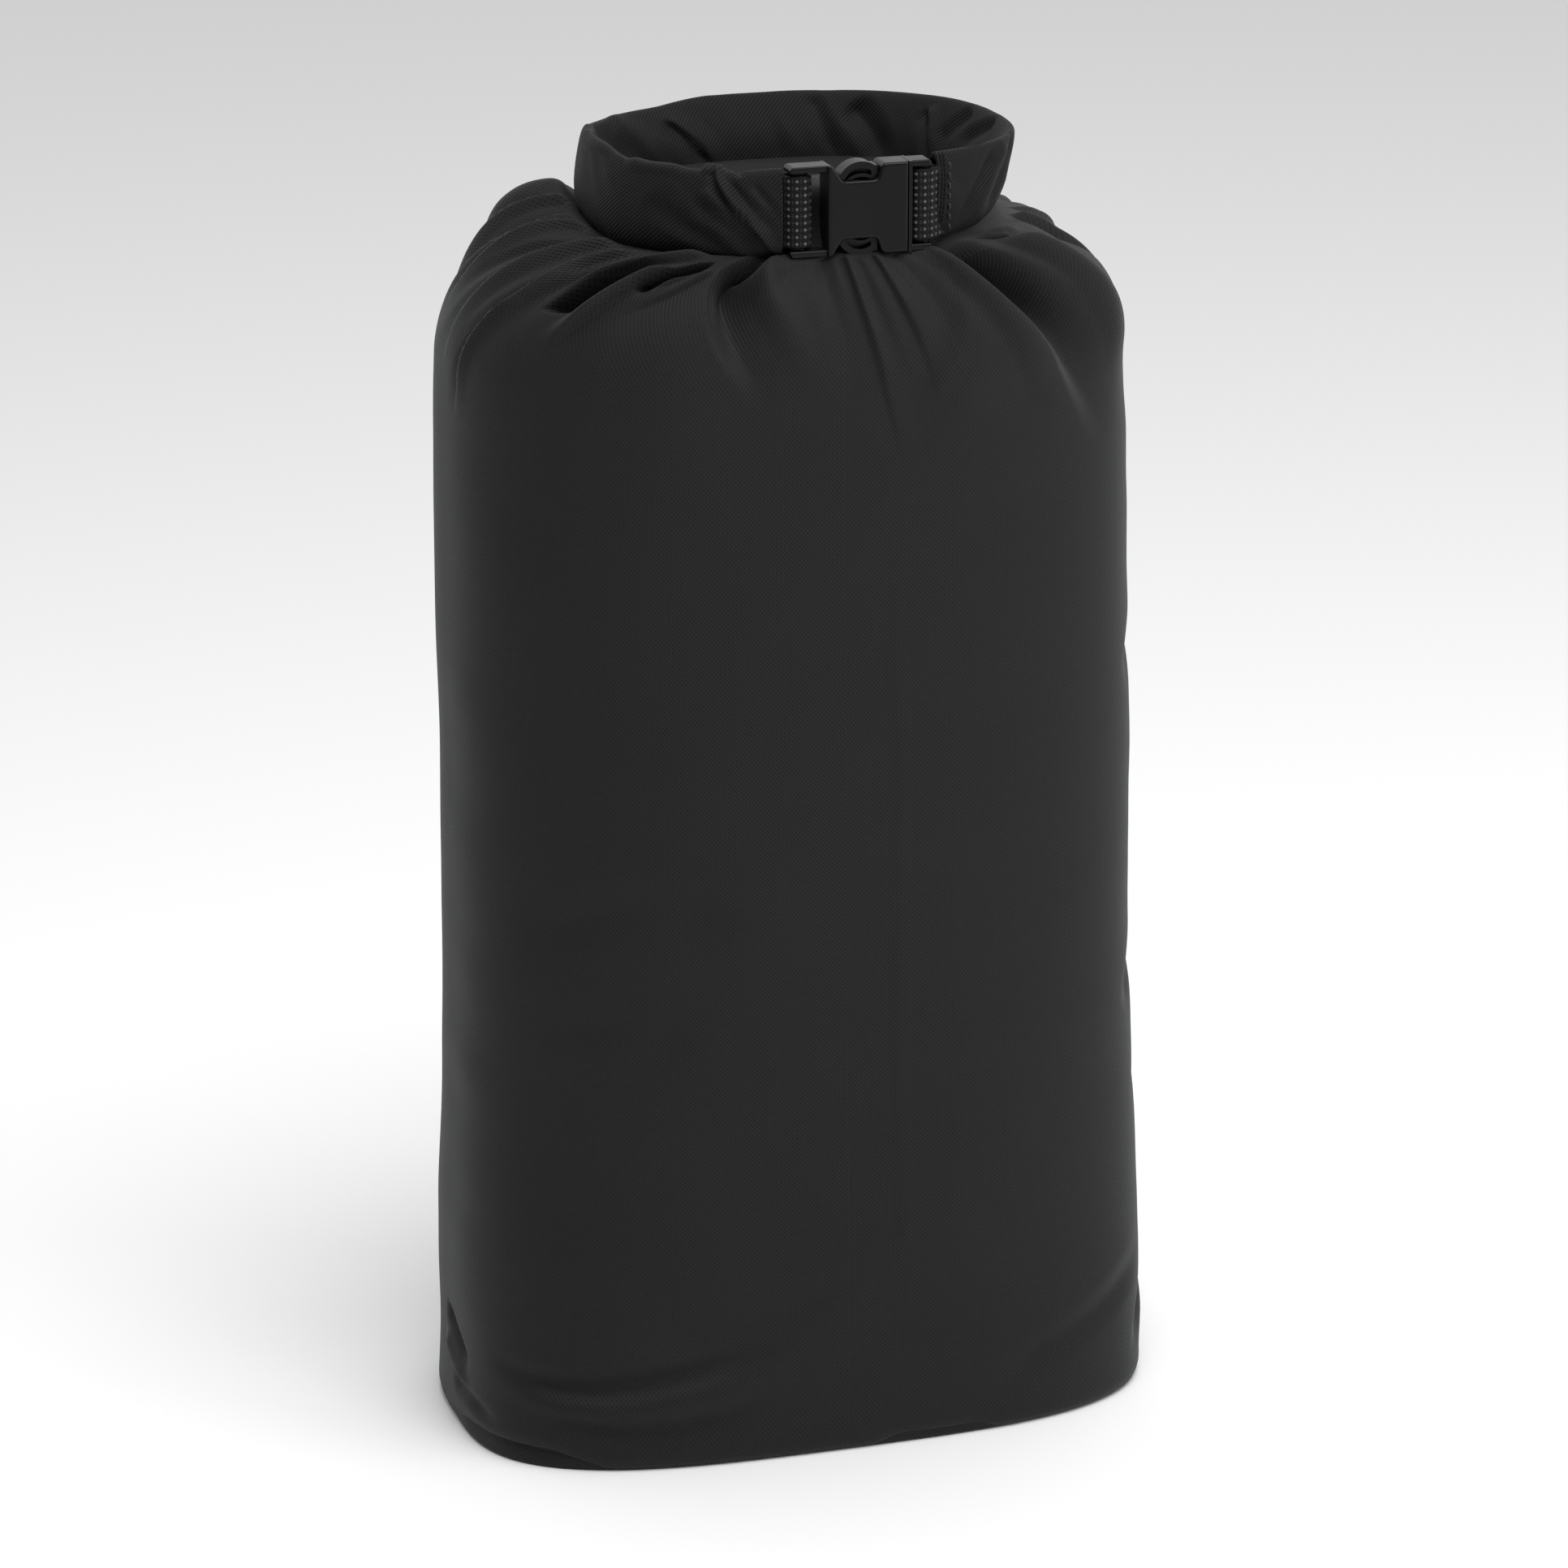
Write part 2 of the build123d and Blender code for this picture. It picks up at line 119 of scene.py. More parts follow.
def superellipse(half_width, half_depth, power, fraction):
    """Points at shares of the way round an oval, from its front centre towards +X."""
    angle = np.linspace(-math.pi / 2, 1.5 * math.pi, 1441)
    cos, sin = np.cos(angle), np.sin(angle)
    x = half_width * np.sign(cos) * np.abs(cos) ** (2 / power)
    y = half_depth * np.sign(sin) * np.abs(sin) ** (2 / power)
    step = np.hypot(np.diff(x), np.diff(y))
    way = np.concatenate([[0], np.cumsum(step)])
    place = np.mod(fraction, 1.0) * way[-1]
    return np.interp(place, way, x), np.interp(place, way, y)


def bag_profile(t):
    """Height, half width, half depth, share of the neck and share of the tube t up the fabric."""
    up_tube = np.clip(t / TUBE_LENGTH, 0, 1)
    over_dome = np.clip((t - TUBE_LENGTH) / DOME_LENGTH, 0, 1)
    across_floor = np.clip((t - TUBE_LENGTH - DOME_LENGTH) / FLOOR_LENGTH, 0, 1)
    turn = over_dome * math.pi / 2
    spread = np.cos(turn)
    tuck = SEAM_TUCK * np.clip(1 - t / TUCK_LENGTH, 0, 1) ** 2
    tube_width = HALF_WIDTH * (1 - TUBE_TAPER * up_tube**0.6) - tuck
    tube_depth = HALF_DEPTH * (1 - DEPTH_TAPER * up_tube) - tuck
    shrink = 1 - FLOOR_REACH * across_floor
    half_width = (NECK_HALF_WIDTH + (tube_width - NECK_HALF_WIDTH) * spread) * shrink
    half_depth = (NECK_HALF_DEPTH + (tube_depth - NECK_HALF_DEPTH) * spread) * shrink
    z = SEAM_Z + TUBE_LENGTH * up_tube + (NECK_Z - SHOULDER_Z) * np.sin(turn)
    z = z + FLOOR_PUFF * np.sin(math.pi * np.clip(across_floor * 1.2, 0, 1))
    return z, half_width, half_depth, 1 - spread, up_tube


# The lower edge of the fabric hangs below the seam, except over a few stretches: for each, its
# middle, its half width and how far the edge is drawn up.
EDGE_DROP = -3.2
EDGE_FADE = 16.0            # the drop is gone this far up the fabric
EDGE_LIFTS = ((-98, 34, 5.2), (26, 20, 2.2), (150, 40, 2.0), (-190, 40, 2.0))


def bag_surface(columns, t):
    """Grid of points of the bag without its folds, with rows at t and evenly spaced columns."""
    fraction = np.arange(columns) / columns
    z, half_width, half_depth, neck, up_tube = bag_profile(t)
    squareness = BASE_SQUARENESS + (SQUARENESS - BASE_SQUARENESS) * smooth(0.0, 0.35, up_tube)
    lean = (BASE_LEAN + (TOP_LEAN - BASE_LEAN) * up_tube) * (1 - neck)
    points = np.zeros((len(t), columns, 3))
    for row in range(len(t)):
        swept = fraction - SIDE_SWEEP * neck[row] * np.sin(2 * math.pi * fraction)
        x, y = superellipse(half_width[row], half_depth[row], squareness[row], swept)
        points[row, :, 0] = x + RING_CENTRE[0] * neck[row] + lean[row]
        points[row, :, 1] = y + RING_CENTRE[1] * neck[row]
        points[row, :, 2] = z[row]
    s = (fraction - np.round(fraction)) * BAG_ROUND
    edge = EDGE_DROP
    for middle, width, lift in EDGE_LIFTS:
        edge = edge + lift * (1 - smooth(width * 0.4, width, np.abs(s - middle)))
    points[..., 2] += edge[None, :] * (1 - smooth(0, EDGE_FADE, t))[:, None]
    past_neck = (t - TUBE_LENGTH - DOME_LENGTH)[:, None]
    front = smooth(RING_CENTRE[1] + 10, RING_CENTRE[1] - 32, points[..., 1])
    points[..., 2] += FLOOR_RISE * smooth(1, 9, past_neck) * front
    lip = smooth(0, 2.5, past_neck) * (1 - smooth(6, 16, past_neck))
    points[..., 2] += NECK_LIP * lip * (1 - front)
    return points


def perimeter(half_width, half_depth, power):
    """Length of an oval outline."""
    x, y = superellipse(half_width, half_depth, power, np.linspace(0, 1, 721))
    return float(np.hypot(np.diff(x), np.diff(y)).sum())


BAG_ROUND = perimeter(HALF_WIDTH, HALF_DEPTH, SQUARENESS)


def grid_normals(points):
    """Unit normals of a grid of points that wraps round in its columns."""
    around = np.roll(points, -1, axis=1) - np.roll(points, 1, axis=1)
    along = np.gradient(points, axis=0)
    normal = np.cross(around, along)
    length = np.linalg.norm(normal, axis=2, keepdims=True)
    return normal / np.maximum(length, 1e-9)


def curve_through(points, samples):
    """Points evenly spread in parameter along a smooth curve through a few given ones."""
    points = np.array(points, float)
    padded = np.vstack([2 * points[0] - points[1], points, 2 * points[-1] - points[-2]])
    place = np.linspace(0, len(points) - 1, samples)
    index = np.minimum(place.astype(int), len(points) - 2)
    share = (place - index)[:, None]
    p0, p1, p2, p3 = (padded[index + k] for k in range(4))
    return 0.5 * (2 * p1 + (p2 - p0) * share + (2 * p0 - 5 * p1 + 4 * p2 - p3) * share**2
                  + (3 * p1 - p0 - 3 * p2 + p3) * share**3)


def stroke(s, t, path, width, depth, kind, taper):
    """Relief of one fold: its profile drawn along a path over the fabric coordinates s and t.

    width is the half width of the fold, in millimetres of fabric, at its start and its end.
    taper is the share of its length over which it sets in, and the share over which it fades.
    Seen by someone going down the path, a pocket has a steep wall on its right and a gentle one
    on its left, and a pleat steps down from its left to its right over a crevice."""
    line = curve_through(path, 25)
    reach = 1.3 * max(width)
    low, high = line.min(axis=0) - reach, line.max(axis=0) + reach
    near = (s > low[0]) & (s < high[0]) & (t > low[1]) & (t < high[1])
    relief = np.zeros_like(s)
    if not near.any():
        return relief
    u, v = s[near], t[near]
    best = np.full(u.shape, 1e9)
    side = np.zeros_like(u)
    way = np.zeros_like(u)
    for k in range(len(line) - 1):
        a, d = line[k], line[k + 1] - line[k]
        length = math.hypot(*d)
        share = np.clip(((u - a[0]) * d[0] + (v - a[1]) * d[1]) / length**2, 0, 1)
        du, dv = u - a[0] - share * d[0], v - a[1] - share * d[1]
        distance = np.hypot(du, dv)
        closer = distance < best
        best = np.where(closer, distance, best)
        cross = (d[0] * dv - d[1] * du) / length
        side = np.where(closer, np.where(cross >= 0, -1.0, 1.0), side)
        way = np.where(closer, (k + share) / (len(line) - 1), way)
    half = width[0] + (width[1] - width[0]) * way
    x = np.clip(best / half, 0, 1)
    if kind == "valley":
        shape = -(1 - x) ** 2 * (1 + 1.4 * x)
    elif kind == "pocket":
        steep = np.clip(best / (0.4 * half), 0, 1)
        x = np.where(side > 0, steep, x)
        shape = -(1 - x) ** 2 * (1 + 1.8 * x)
    elif kind == "hole":
        shape = -(1 - x * x) ** 1.5
    elif kind == "ridge":
        shape = (1 - x * x) ** 2
    else:
        rise = (1 - x) ** 1.5 * (1 + 1.2 * x)
        drop = -(1 - x) ** 2 * (1 + 2 * x) * 0.75
        shape = np.where(side < 0, rise, drop)
        blur = np.clip(best / (0.12 * half), 0, 1)
        middle = (rise + drop) / 2
        crevice = np.clip(1 - best / (0.3 * half), 0, 1) ** 2
        shape = middle + (shape - middle) * blur - 0.7 * crevice
    start = smooth(0, taper[0], way) if taper[0] > 0 else 1.0
    relief[near] = depth * shape * start * (1 - smooth(1 - taper[1], 1.0, way))
    return relief


def value_noise(x, y, cell, seed):
    """Smooth random relief between -1 and 1, with features about one cell across."""
    rng = np.random.default_rng(seed)
    cells = 64
    grid = rng.uniform(-1, 1, (cells, cells))
    gx, gy = x / cell, y / cell
    ix, iy = np.floor(gx).astype(int), np.floor(gy).astype(int)
    fx, fy = gx - ix, gy - iy
    fx, fy = fx * fx * (3 - 2 * fx), fy * fy * (3 - 2 * fy)
    left, right = ix % cells, (ix + 1) % cells
    low, high = iy % cells, (iy + 1) % cells
    below = grid[low, left] * (1 - fx) + grid[low, right] * fx
    above = grid[high, left] * (1 - fx) + grid[high, right] * fx
    return below * (1 - fy) + above * fy


def fabric_grid(columns, along):
    """Fabric coordinates of a grid round the bag, with one column more than it has points."""
    return np.meshgrid(np.arange(columns + 1) / columns * BAG_ROUND, along)


def add_object(name, data):
    """Put a new object in the scene."""
    item = bpy.data.objects.new(name, data)
    bpy.context.scene.collection.objects.link(item)
    return item


def dress(piece, material, nodes, body=None):
    """Give a piece its material, hide the CAD nodes it stands for and attach it to the body it rides on,
    if any.
    """
    piece.data.materials.append(material)
    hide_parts(*nodes)
    if body:
        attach(piece, body)


def grid_object(name, points, u, v, caps=False, ring=False):
    """A mesh object from rows of closed loops of points, in millimetres.

    u and v are fabric coordinates and have one more column than points, because the last column
    of faces closes on the first. A ring also closes its last row on its first."""
    rows, columns = points.shape[:2]
    spans = rows if ring else rows - 1
    row, column = np.meshgrid(np.arange(spans), np.arange(columns), indexing="ij")
    after = (column + 1) % columns
    above = (row + 1) % rows
    faces = np.stack([row * columns + column, row * columns + after,
                      above * columns + after, above * columns + column], axis=-1)
    polygons = faces.reshape(-1, 4).tolist()
    if caps:
        polygons.append(list(range(columns))[::-1])
        polygons.append([(rows - 1) * columns + i for i in range(columns)])
    mesh = bpy.data.meshes.new(name)
    mesh.from_pydata((points.reshape(-1, 3) * MM).tolist(), [], polygons)
    corner_row = np.stack([row, row, above, above], axis=-1)
    corner_column = np.stack([column, column + 1, column + 1, column], axis=-1)
    corners = np.stack([u[corner_row, corner_column], v[corner_row, corner_column]], axis=-1)
    layer = mesh.uv_layers.new(name="fabric")
    flat = np.zeros((len(mesh.loops), 2), np.float32)
    flat[: corners.size // 2] = corners.reshape(-1, 2) * MM
    layer.data.foreach_set("uv", flat.ravel())
    sides = spans * columns
    mesh.polygons.foreach_set("use_smooth", [index < sides for index in range(len(mesh.polygons))])
    mesh.update()
    outward = bmesh.new()
    outward.from_mesh(mesh)
    bmesh.ops.recalc_face_normals(outward, faces=outward.faces)
    outward.to_mesh(mesh)
    outward.free()
    return add_object(name, mesh)


# --------------------------------------------------------------------------- materials

WEAVE_PITCH = 0.85          # between ridges of the twill
TWILL_ANGLE = 46.0          # degrees, of the ridges over the fabric


def add_node(tree, kind, inputs=None, **settings):
    """A new node with its settings, and with its inputs set or linked."""
    made = tree.nodes.new(kind)
    for key, value in settings.items():
        setattr(made, key, value)
    for key, value in (inputs or {}).items():
        if isinstance(value, bpy.types.NodeSocket):
            tree.links.new(value, made.inputs[key])
        else:
            made.inputs[key].default_value = value
    return made


class Shader:
    """A node material under construction, with short calls for the nodes it needs."""

    def __init__(self, name):
        self.material = bpy.data.materials.new(name)
        self.material.use_nodes = True
        self.tree = self.material.node_tree
        self.surface = self.tree.nodes["Principled BSDF"]

    def node(self, kind, inputs=None, **settings):
        return add_node(self.tree, kind, inputs, **settings)

    def math(self, operation, first, second=0.0, third=0.0):
        made = self.node("ShaderNodeMath", {0: first, 1: second, 2: third}, operation=operation)
        return made.outputs[0]

    def fabric_coordinates(self):
        """Millimetres across and along the fabric, from the UV map in metres."""
        where = self.node("ShaderNodeTexCoord").outputs["UV"]
        split = self.node("ShaderNodeSeparateXYZ", {0: where})
        across, along = (self.math("MULTIPLY", split.outputs[k], 1 / MM) for k in (0, 1))
        return across, along

    def noise(self, scale, detail=3.0):
        """Random grey between 0 and 1, with scale features to the metre."""
        place = self.node("ShaderNodeTexCoord").outputs["Object"]
        values = {"Vector": place, "Scale": scale, "Detail": detail}
        return self.node("ShaderNodeTexNoise", values).outputs[0]

    def ribs(self, u, v, pitch, degrees):
        """Ridges between 0 and 1, a pitch apart, whose lines run at an angle over the fabric."""
        across = self.math("MULTIPLY", u, -math.sin(math.radians(degrees)) * math.tau / pitch)
        along = math.cos(math.radians(degrees)) * math.tau / pitch
        phase = self.math("MULTIPLY_ADD", v, along, across)
        return self.math("MULTIPLY_ADD", self.math("SINE", phase), 0.5, 0.5)

    def blend(self, low, high, share):
        """Grey level from low to high by a share, as a colour."""
        level = self.math("MULTIPLY_ADD", share, high - low, low)
        return self.node("ShaderNodeCombineColor", {0: level, 1: level, 2: level}).outputs[0]

    def bump(self, height, distance, strength=1.0):
        """Relief in millimetres on the shader's normal."""
        values = {"Height": height, "Distance": distance * MM, "Strength": strength}
        normal = self.node("ShaderNodeBump", values).outputs[0]
        self.tree.links.new(normal, self.surface.inputs["Normal"])

    def set(self, **inputs):
        """Set or link the shader's inputs, and hand over the finished material."""
        for key, value in inputs.items():
            socket = self.surface.inputs[key.replace("_", " ")]
            if isinstance(value, bpy.types.NodeSocket):
                self.tree.links.new(value, socket)
            else:
                socket.default_value = value
        return self.material


def fabric_material(name, crossing, pitch=WEAVE_PITCH, light=0.0155, sheen=0.09, shine=0.2):
    """Black coated pack cloth: a fine twill, or two crossing ones, with a faint sheen."""
    shader = Shader(name)
    u, v = shader.fabric_coordinates()
    weave = shader.ribs(u, v, pitch, TWILL_ANGLE)
    if crossing:
        weave = shader.math("MAXIMUM", weave, shader.ribs(u, v, pitch, 180.0 - TWILL_ANGLE))
    cloud = shader.noise(38.0)
    grain = shader.noise(2600.0, detail=1.0)
    level = shader.math("MULTIPLY_ADD", cloud, 0.2, shader.math("MULTIPLY", weave, 0.6))
    level = shader.math("MULTIPLY_ADD", grain, 0.2, level)
    relief = shader.math("MULTIPLY_ADD", grain, 0.25, weave)
    shader.bump(relief, 0.1, 0.9)
    return shader.set(
        Base_Color=shader.blend(0.002, light, level), Roughness=0.64, Specular_IOR_Level=shine,
        Sheen_Weight=sheen, Sheen_Roughness=0.35, Sheen_Tint=(0.9, 0.95, 1.0, 1.0))


def webbing_material():
    """Black ribbed webbing with rows of small grey reflective diamonds."""
    shader = Shader("webbing_reflective")
    u, v = shader.fabric_coordinates()
    along = shader.math("FRACT", shader.math("DIVIDE", u, WEB_COLUMN_PITCH))
    across = shader.math("FRACT", shader.math("DIVIDE", v, WEB_ROW_PITCH))
    off_along = shader.math("ABSOLUTE", shader.math("SUBTRACT", along, 0.5))
    off_across = shader.math("ABSOLUTE", shader.math("SUBTRACT", across, 0.5))
    reach = shader.math("MULTIPLY_ADD", off_along, 2.2, shader.math("MULTIPLY", off_across, 1.9))
    within = shader.math("SUBTRACT", 1.0, shader.math("GREATER_THAN", reach, 0.48))
    hollow = shader.math("GREATER_THAN", reach, 0.17)
    diamond = shader.math("MULTIPLY", within, hollow)
    edge = shader.math("ABSOLUTE", shader.math("SUBTRACT", off_along, 0.46))
    slant = shader.math("MULTIPLY_ADD", off_across, 0.2, edge)
    zigzag = shader.math("LESS_THAN", slant, 0.09)
    dash = shader.math("MULTIPLY", zigzag, shader.ribs(u, v, 0.55, 0.0))
    yarn = shader.ribs(u, v, 0.34, 90.0)
    bright = shader.math("MAXIMUM", diamond, shader.math("MULTIPLY", dash, 0.2))
    bright = shader.math("MULTIPLY", bright, shader.math("MULTIPLY_ADD", yarn, 0.4, 0.6))
    height = shader.math("MULTIPLY_ADD", bright, 0.6, shader.math("MULTIPLY", yarn, 0.5))
    shader.bump(height, 0.12, 0.9)
    return shader.set(
        Base_Color=shader.blend(0.004, 0.17, bright), Roughness=0.6, Specular_IOR_Level=0.15)


def plastic_material(name, low, high, roughness, relief):
    """Moulded plastic with a fine grained skin."""
    shader = Shader(name)
    grain = shader.noise(1500.0, detail=2.0)
    cloud = shader.noise(160.0)
    sink = shader.noise(45.0, detail=0.0)
    shader.bump(shader.math("MULTIPLY_ADD", sink, 30.0, grain), relief, 0.7)
    rough = shader.math("MULTIPLY_ADD", cloud, 0.12, roughness)
    return shader.set(
        Base_Color=shader.blend(low, high, cloud), Roughness=rough, Specular_IOR_Level=0.18)


def thread_material():
    """Black bonded thread, twisted."""
    shader = Shader("thread_twist")
    u, v = shader.fabric_coordinates()
    twist = shader.ribs(u, v, 0.3, 30.0)
    shader.bump(twist, 0.04)
    return shader.set(
        Base_Color=shader.blend(0.004, 0.014, twist), Roughness=0.5, Specular_IOR_Level=0.4)


# --------------------------------------------------------------------------- bag

# Folds of the front and the sides: their paths run over the fabric, as the distance round from the
# front centre and the height above the shoulder line. Widths are half widths, depths outwards.
SHOULDER_FOLDS = (
    # broad swells: the left shoulder stands up beside the roll, the right one falls away from it
    ("ridge", ((-205, 36), (-170, 38), (-138, 36)), (30, 30), 6.5),
    ("valley", ((100, 30), (130, 31), (175, 32)), (19, 19), 3.6),
    ("ridge", ((-80, 6), (-50, 0), (-30, -10)), (26, 30), 1.6),
    ("ridge", ((30, 12), (42, 2), (50, -12)), (22, 28), 1.4),
    # left gathers, pulled together under the left end of the roll
    ("ridge", ((-188, 46), (-183, 30), (-172, 14)), (7, 9), 3.2),
    ("pleat", ((-166, 46), (-169, 34), (-160, 10)), (3.0, 7), 3.4),
    ("pleat", ((-148, 46), (-154, 36), (-147, 10)), (3.0, 7), 2.4),
    ("valley", ((-134, 46), (-143, 34), (-142, 16)), (2.5, 4), 1.4),
    ("pleat", ((-128, 46), (-132, 32), (-129, 0)), (4, 10), 3.8),
    ("pleat", ((-112, 45), (-115, 33), (-113, 21), (-118, -4)), (3.5, 9), 3.4),
    ("pleat", ((-112, 22), (-114, 10), (-120, -12)), (3, 6), 1.4),
    ("valley", ((-102, 45), (-104, 32), (-103, 10)), (3, 7), 2.2),
    # deep pocket beside the left gathers, with a rolled edge and a small pocket next to it
    ("hole", ((-88, 36), (-93, 28), (-93, 19)), (4.5, 7.0), 10.0),
    ("ridge", ((-78, 36), (-82, 27), (-85, 18), (-90, 12)), (4.0, 4.5), 4.4),
    ("ridge", ((-74, 42), (-90, 38), (-101, 30), (-102, 18)), (3.0, 4), 3.2),
    ("hole", ((-68, 38), (-75, 33), (-77, 26)), (3.4, 4.4), 6.0),
    ("ridge", ((-60, 36), (-66, 27), (-76, 21)), (3.4, 4), 2.2),
    # groove left of the buckle
    ("pocket", ((-60, 46), (-56, 38), (-40, 20), (-18, -4)), (9, 15), 8.5),
    ("ridge", ((-46, 44), (-38, 34), (-20, 18), (-2, -4)), (5, 7), 1.6),
    # fan of shallow folds under the buckle
    ("valley", ((-16, 42), (-11, 35), (-2, 18), (9, -10)), (4, 8), 1.2),
    ("pleat", ((-3, 42), (1, 33), (9, 8), (18, -26)), (4, 8), 1.0),
    ("valley", ((6, 40), (10, 20), (18, -4)), (3, 6), 0.8),
    ("pleat", ((14, 42), (18, 24), (28, -8)), (4, 8), 0.9),
    ("valley", ((26, 42), (30, 22), (38, -4)), (5, 9), 1.0),
    ("valley", ((42, 42), (44, 24), (52, 4)), (5, 9), 0.8),
    # right gathers: one sharp fold down from the right end of the roll, and a pocket behind it
    ("pocket", ((60, 46), (56, 38), (59, 24), (72, 4), (88, -24)), (18, 21), 13.0),
    ("ridge", ((44, 44), (46, 30), (57, 8), (73, -18)), (8, 9), 2.0),
    ("ridge", ((92, 40), (92, 28), (96, 10), (104, -10)), (9, 11), 3.4),
    ("hole", ((84, 44), (96, 39), (108, 37), (118, 37)), (3.4, 3.0), 4.2),
    ("ridge", ((90, 47), (104, 44), (122, 42)), (3.0, 3.0), 2.8),
    ("valley", ((104, 46), (122, 46), (138, 44)), (3, 4), 2.0),
    ("pleat", ((140, 46), (136, 34), (128, 14)), (5, 9), 2.0),
)
# Share of its length over which each kind of fold rises from the neck and fades at its foot
FOLD_ENDS = {"pleat": (0.2, 0.5), "valley": (0.1, 0.5), "ridge": (0.2, 0.5), "pocket": (0.0, 0.45),
             "hole": (0.25, 0.2)}
BODY_DENTS = (
    # long soft wrinkles over the base and a notch at the lower left
    ("valley", ((-104, -270), (-76, -276), (-44, -272), (-12, -262)), (5, 7), 2.2),
    ("ridge", ((-98, -277), (-70, -282), (-40, -279), (-14, -272)), (5, 6), 1.2),
    ("valley", ((-84, -284), (-56, -287), (-22, -284)), (4, 4.5), 1.5),
    ("valley", ((-60, -262), (-30, -260), (6, -250)), (7, 8), 1.2),
    ("valley", ((-134, -268), (-127, -272), (-112, -280)), (4.5, 4), 2.6),
    ("ridge", ((-136, -276), (-126, -281), (-112, -286)), (3.5, 3.5), 1.5),
    ("valley", ((-128, -284), (-116, -288), (-96, -291)), (4, 4), 1.8),
    ("valley", ((40, -284), (70, -274), (104, -258)), (6, 8), 1.4),
    ("valley", ((92, -290), (108, -270), (124, -246)), (5, 7), 1.6),
    ("ridge", ((100, -291), (114, -272), (128, -252)), (5, 6), 0.8),
    # soft sags across the middle and dents in the right side
    ("valley", ((-96, -150), (-60, -140), (-28, -146)), (10, 12), 1.3),
    ("valley", ((-90, -176), (-62, -172), (-40, -180)), (8, 9), 0.8),
    ("valley", ((96, -190), (108, -176), (124, -162)), (7, 8), 1.5),
    ("valley", ((102, -220), (112, -206), (126, -196)), (6, 7), 1.3),
    ("valley", ((98, -96), (110, -84), (124, -78)), (8, 9), 1.2),
    # the closing seam down the front
    ("ridge", ((16, -290), (16, -150), (16, -20)), (4, 4), 0.15),
)
BODY_TAPER = (0.3, 0.3)
BACK_PLEATS = 13
FIRST_PLEAT, LAST_PLEAT = 150.0, 160.0  # round from the front centre, to the right and to the left
SIDE_RIPPLES, RIPPLE_REACH = 122.0, 16.0    # where the sides ripple, either way round, and how far
BACK_FADE = 60.0            # the uneven swell fades out over this far from the middle of the back


def back_relief(s, height):
    """Gathers round the back, evenly spread but for some disorder."""
    relief = np.zeros_like(s)
    around = np.where(s < 0, s + BAG_ROUND, s)
    pitch = (BAG_ROUND - FIRST_PLEAT - LAST_PLEAT) / (BACK_PLEATS - 1)
    rng = np.random.default_rng(7)
    for pleat in range(BACK_PLEATS):
        place = FIRST_PLEAT + pleat * pitch + rng.uniform(-4, 4)
        lean = rng.uniform(-12, 12)
        foot = rng.uniform(-18, 14)
        path = ((place, 46), (place + 0.4 * lean, 26), (place + lean, foot))
        kind = ("pleat", "valley")[pleat % 2]
        depth = rng.uniform(1.0, 2.0)
        relief += stroke(around, height, path, (4.5, 9), depth, kind, taper=(0.3, 0.6))
    return relief


def uneven_relief(s, t):
    """Small unevenness: gathers at the shoulders, swells of the tube and ripples at its sides."""
    height = t - TUBE_LENGTH
    free = 1 - 0.8 * smooth(32, 42, height)
    gather = value_noise(s + 500, height * 0.2 + 60, 6.0, 31) * 0.6 * smooth(6, 38, height)
    gather += value_noise(s + 500, height * 0.3 + 60, 14.0, 37) * 1.1 * smooth(-14, 34, height)
    swell = value_noise(s + 400, t, 62.0, 3) * 1.5 + value_noise(s * 0.6 + 400, t, 27.0, 5) * 0.5
    swell *= smooth(0, 40, t) * (1 - smooth(-20, 25, height))
    back = BAG_ROUND / 2
    swell *= 1 - smooth(back - BACK_FADE, back, np.abs(s))
    ripple = value_noise(s * 0.25 + 300, t, 13.0, 11) * 0.45
    ripple *= np.exp(-((np.abs(s) - SIDE_RIPPLES) / RIPPLE_REACH) ** 2)
    ripple *= smooth(4, 20, t) * (1 - smooth(-30, 0, height))
    return gather * free + swell + ripple


def bag_relief(s, t):
    """Folds, gathers and soft dents of the bag, in millimetres out of its plain surface."""
    height = t - TUBE_LENGTH
    relief = back_relief(s, height) + uneven_relief(s, t)
    for kind, path, width, depth in SHOULDER_FOLDS:
        relief += stroke(s, height, path, width, depth, kind, taper=FOLD_ENDS[kind])
    for kind, path, width, depth in BODY_DENTS:
        relief += stroke(s, height, path, width, depth, kind, taper=BODY_TAPER)
    inside_ring = smooth(DOME_LENGTH - 5, DOME_LENGTH + 2, height)
    return relief * (1 - inside_ring)


def build_bag():
    """Tube, shoulders, neck and the fabric folded across inside the ring, in one sheet."""
    fold_start = TUBE_LENGTH - 60       # rows are closer together from here up
    neck = TUBE_LENGTH + DOME_LENGTH
    t_rows = np.concatenate([
        np.linspace(0, fold_start, 170, endpoint=False),
        np.linspace(fold_start, neck, 210, endpoint=False),
        np.linspace(neck, neck + FLOOR_LENGTH, 40),
    ])
    columns = 900
    points = bag_surface(columns, t_rows)
    s, t = fabric_grid(columns, t_rows)
    signed = np.where(s > BAG_ROUND / 2, s - BAG_ROUND, s)[:, :-1]
    points = points + grid_normals(points) * bag_relief(signed, t[:, :-1])[..., None]
    bag = grid_object("bag_shell", points, s, t, caps=True)
    weave = fabric_material("bag_weave", crossing=True)
    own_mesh(bag)
    dress(bag, weave, ("body_panel", "gathered_neck", "body_seam_tape"), "sack")


# --------------------------------------------------------------------------- rolled mouth

SECTION_POINTS = 120
RING_INSET = 4.5            # from the outer edge of the ring to the roll's middle line
ROLL_HALF_THICKNESS = 4.4
TOP_THINNING = 0.42         # the roll's top edge is this much thinner than its middle
TOP_OUTWARD = 0.9           # and stands this much further out


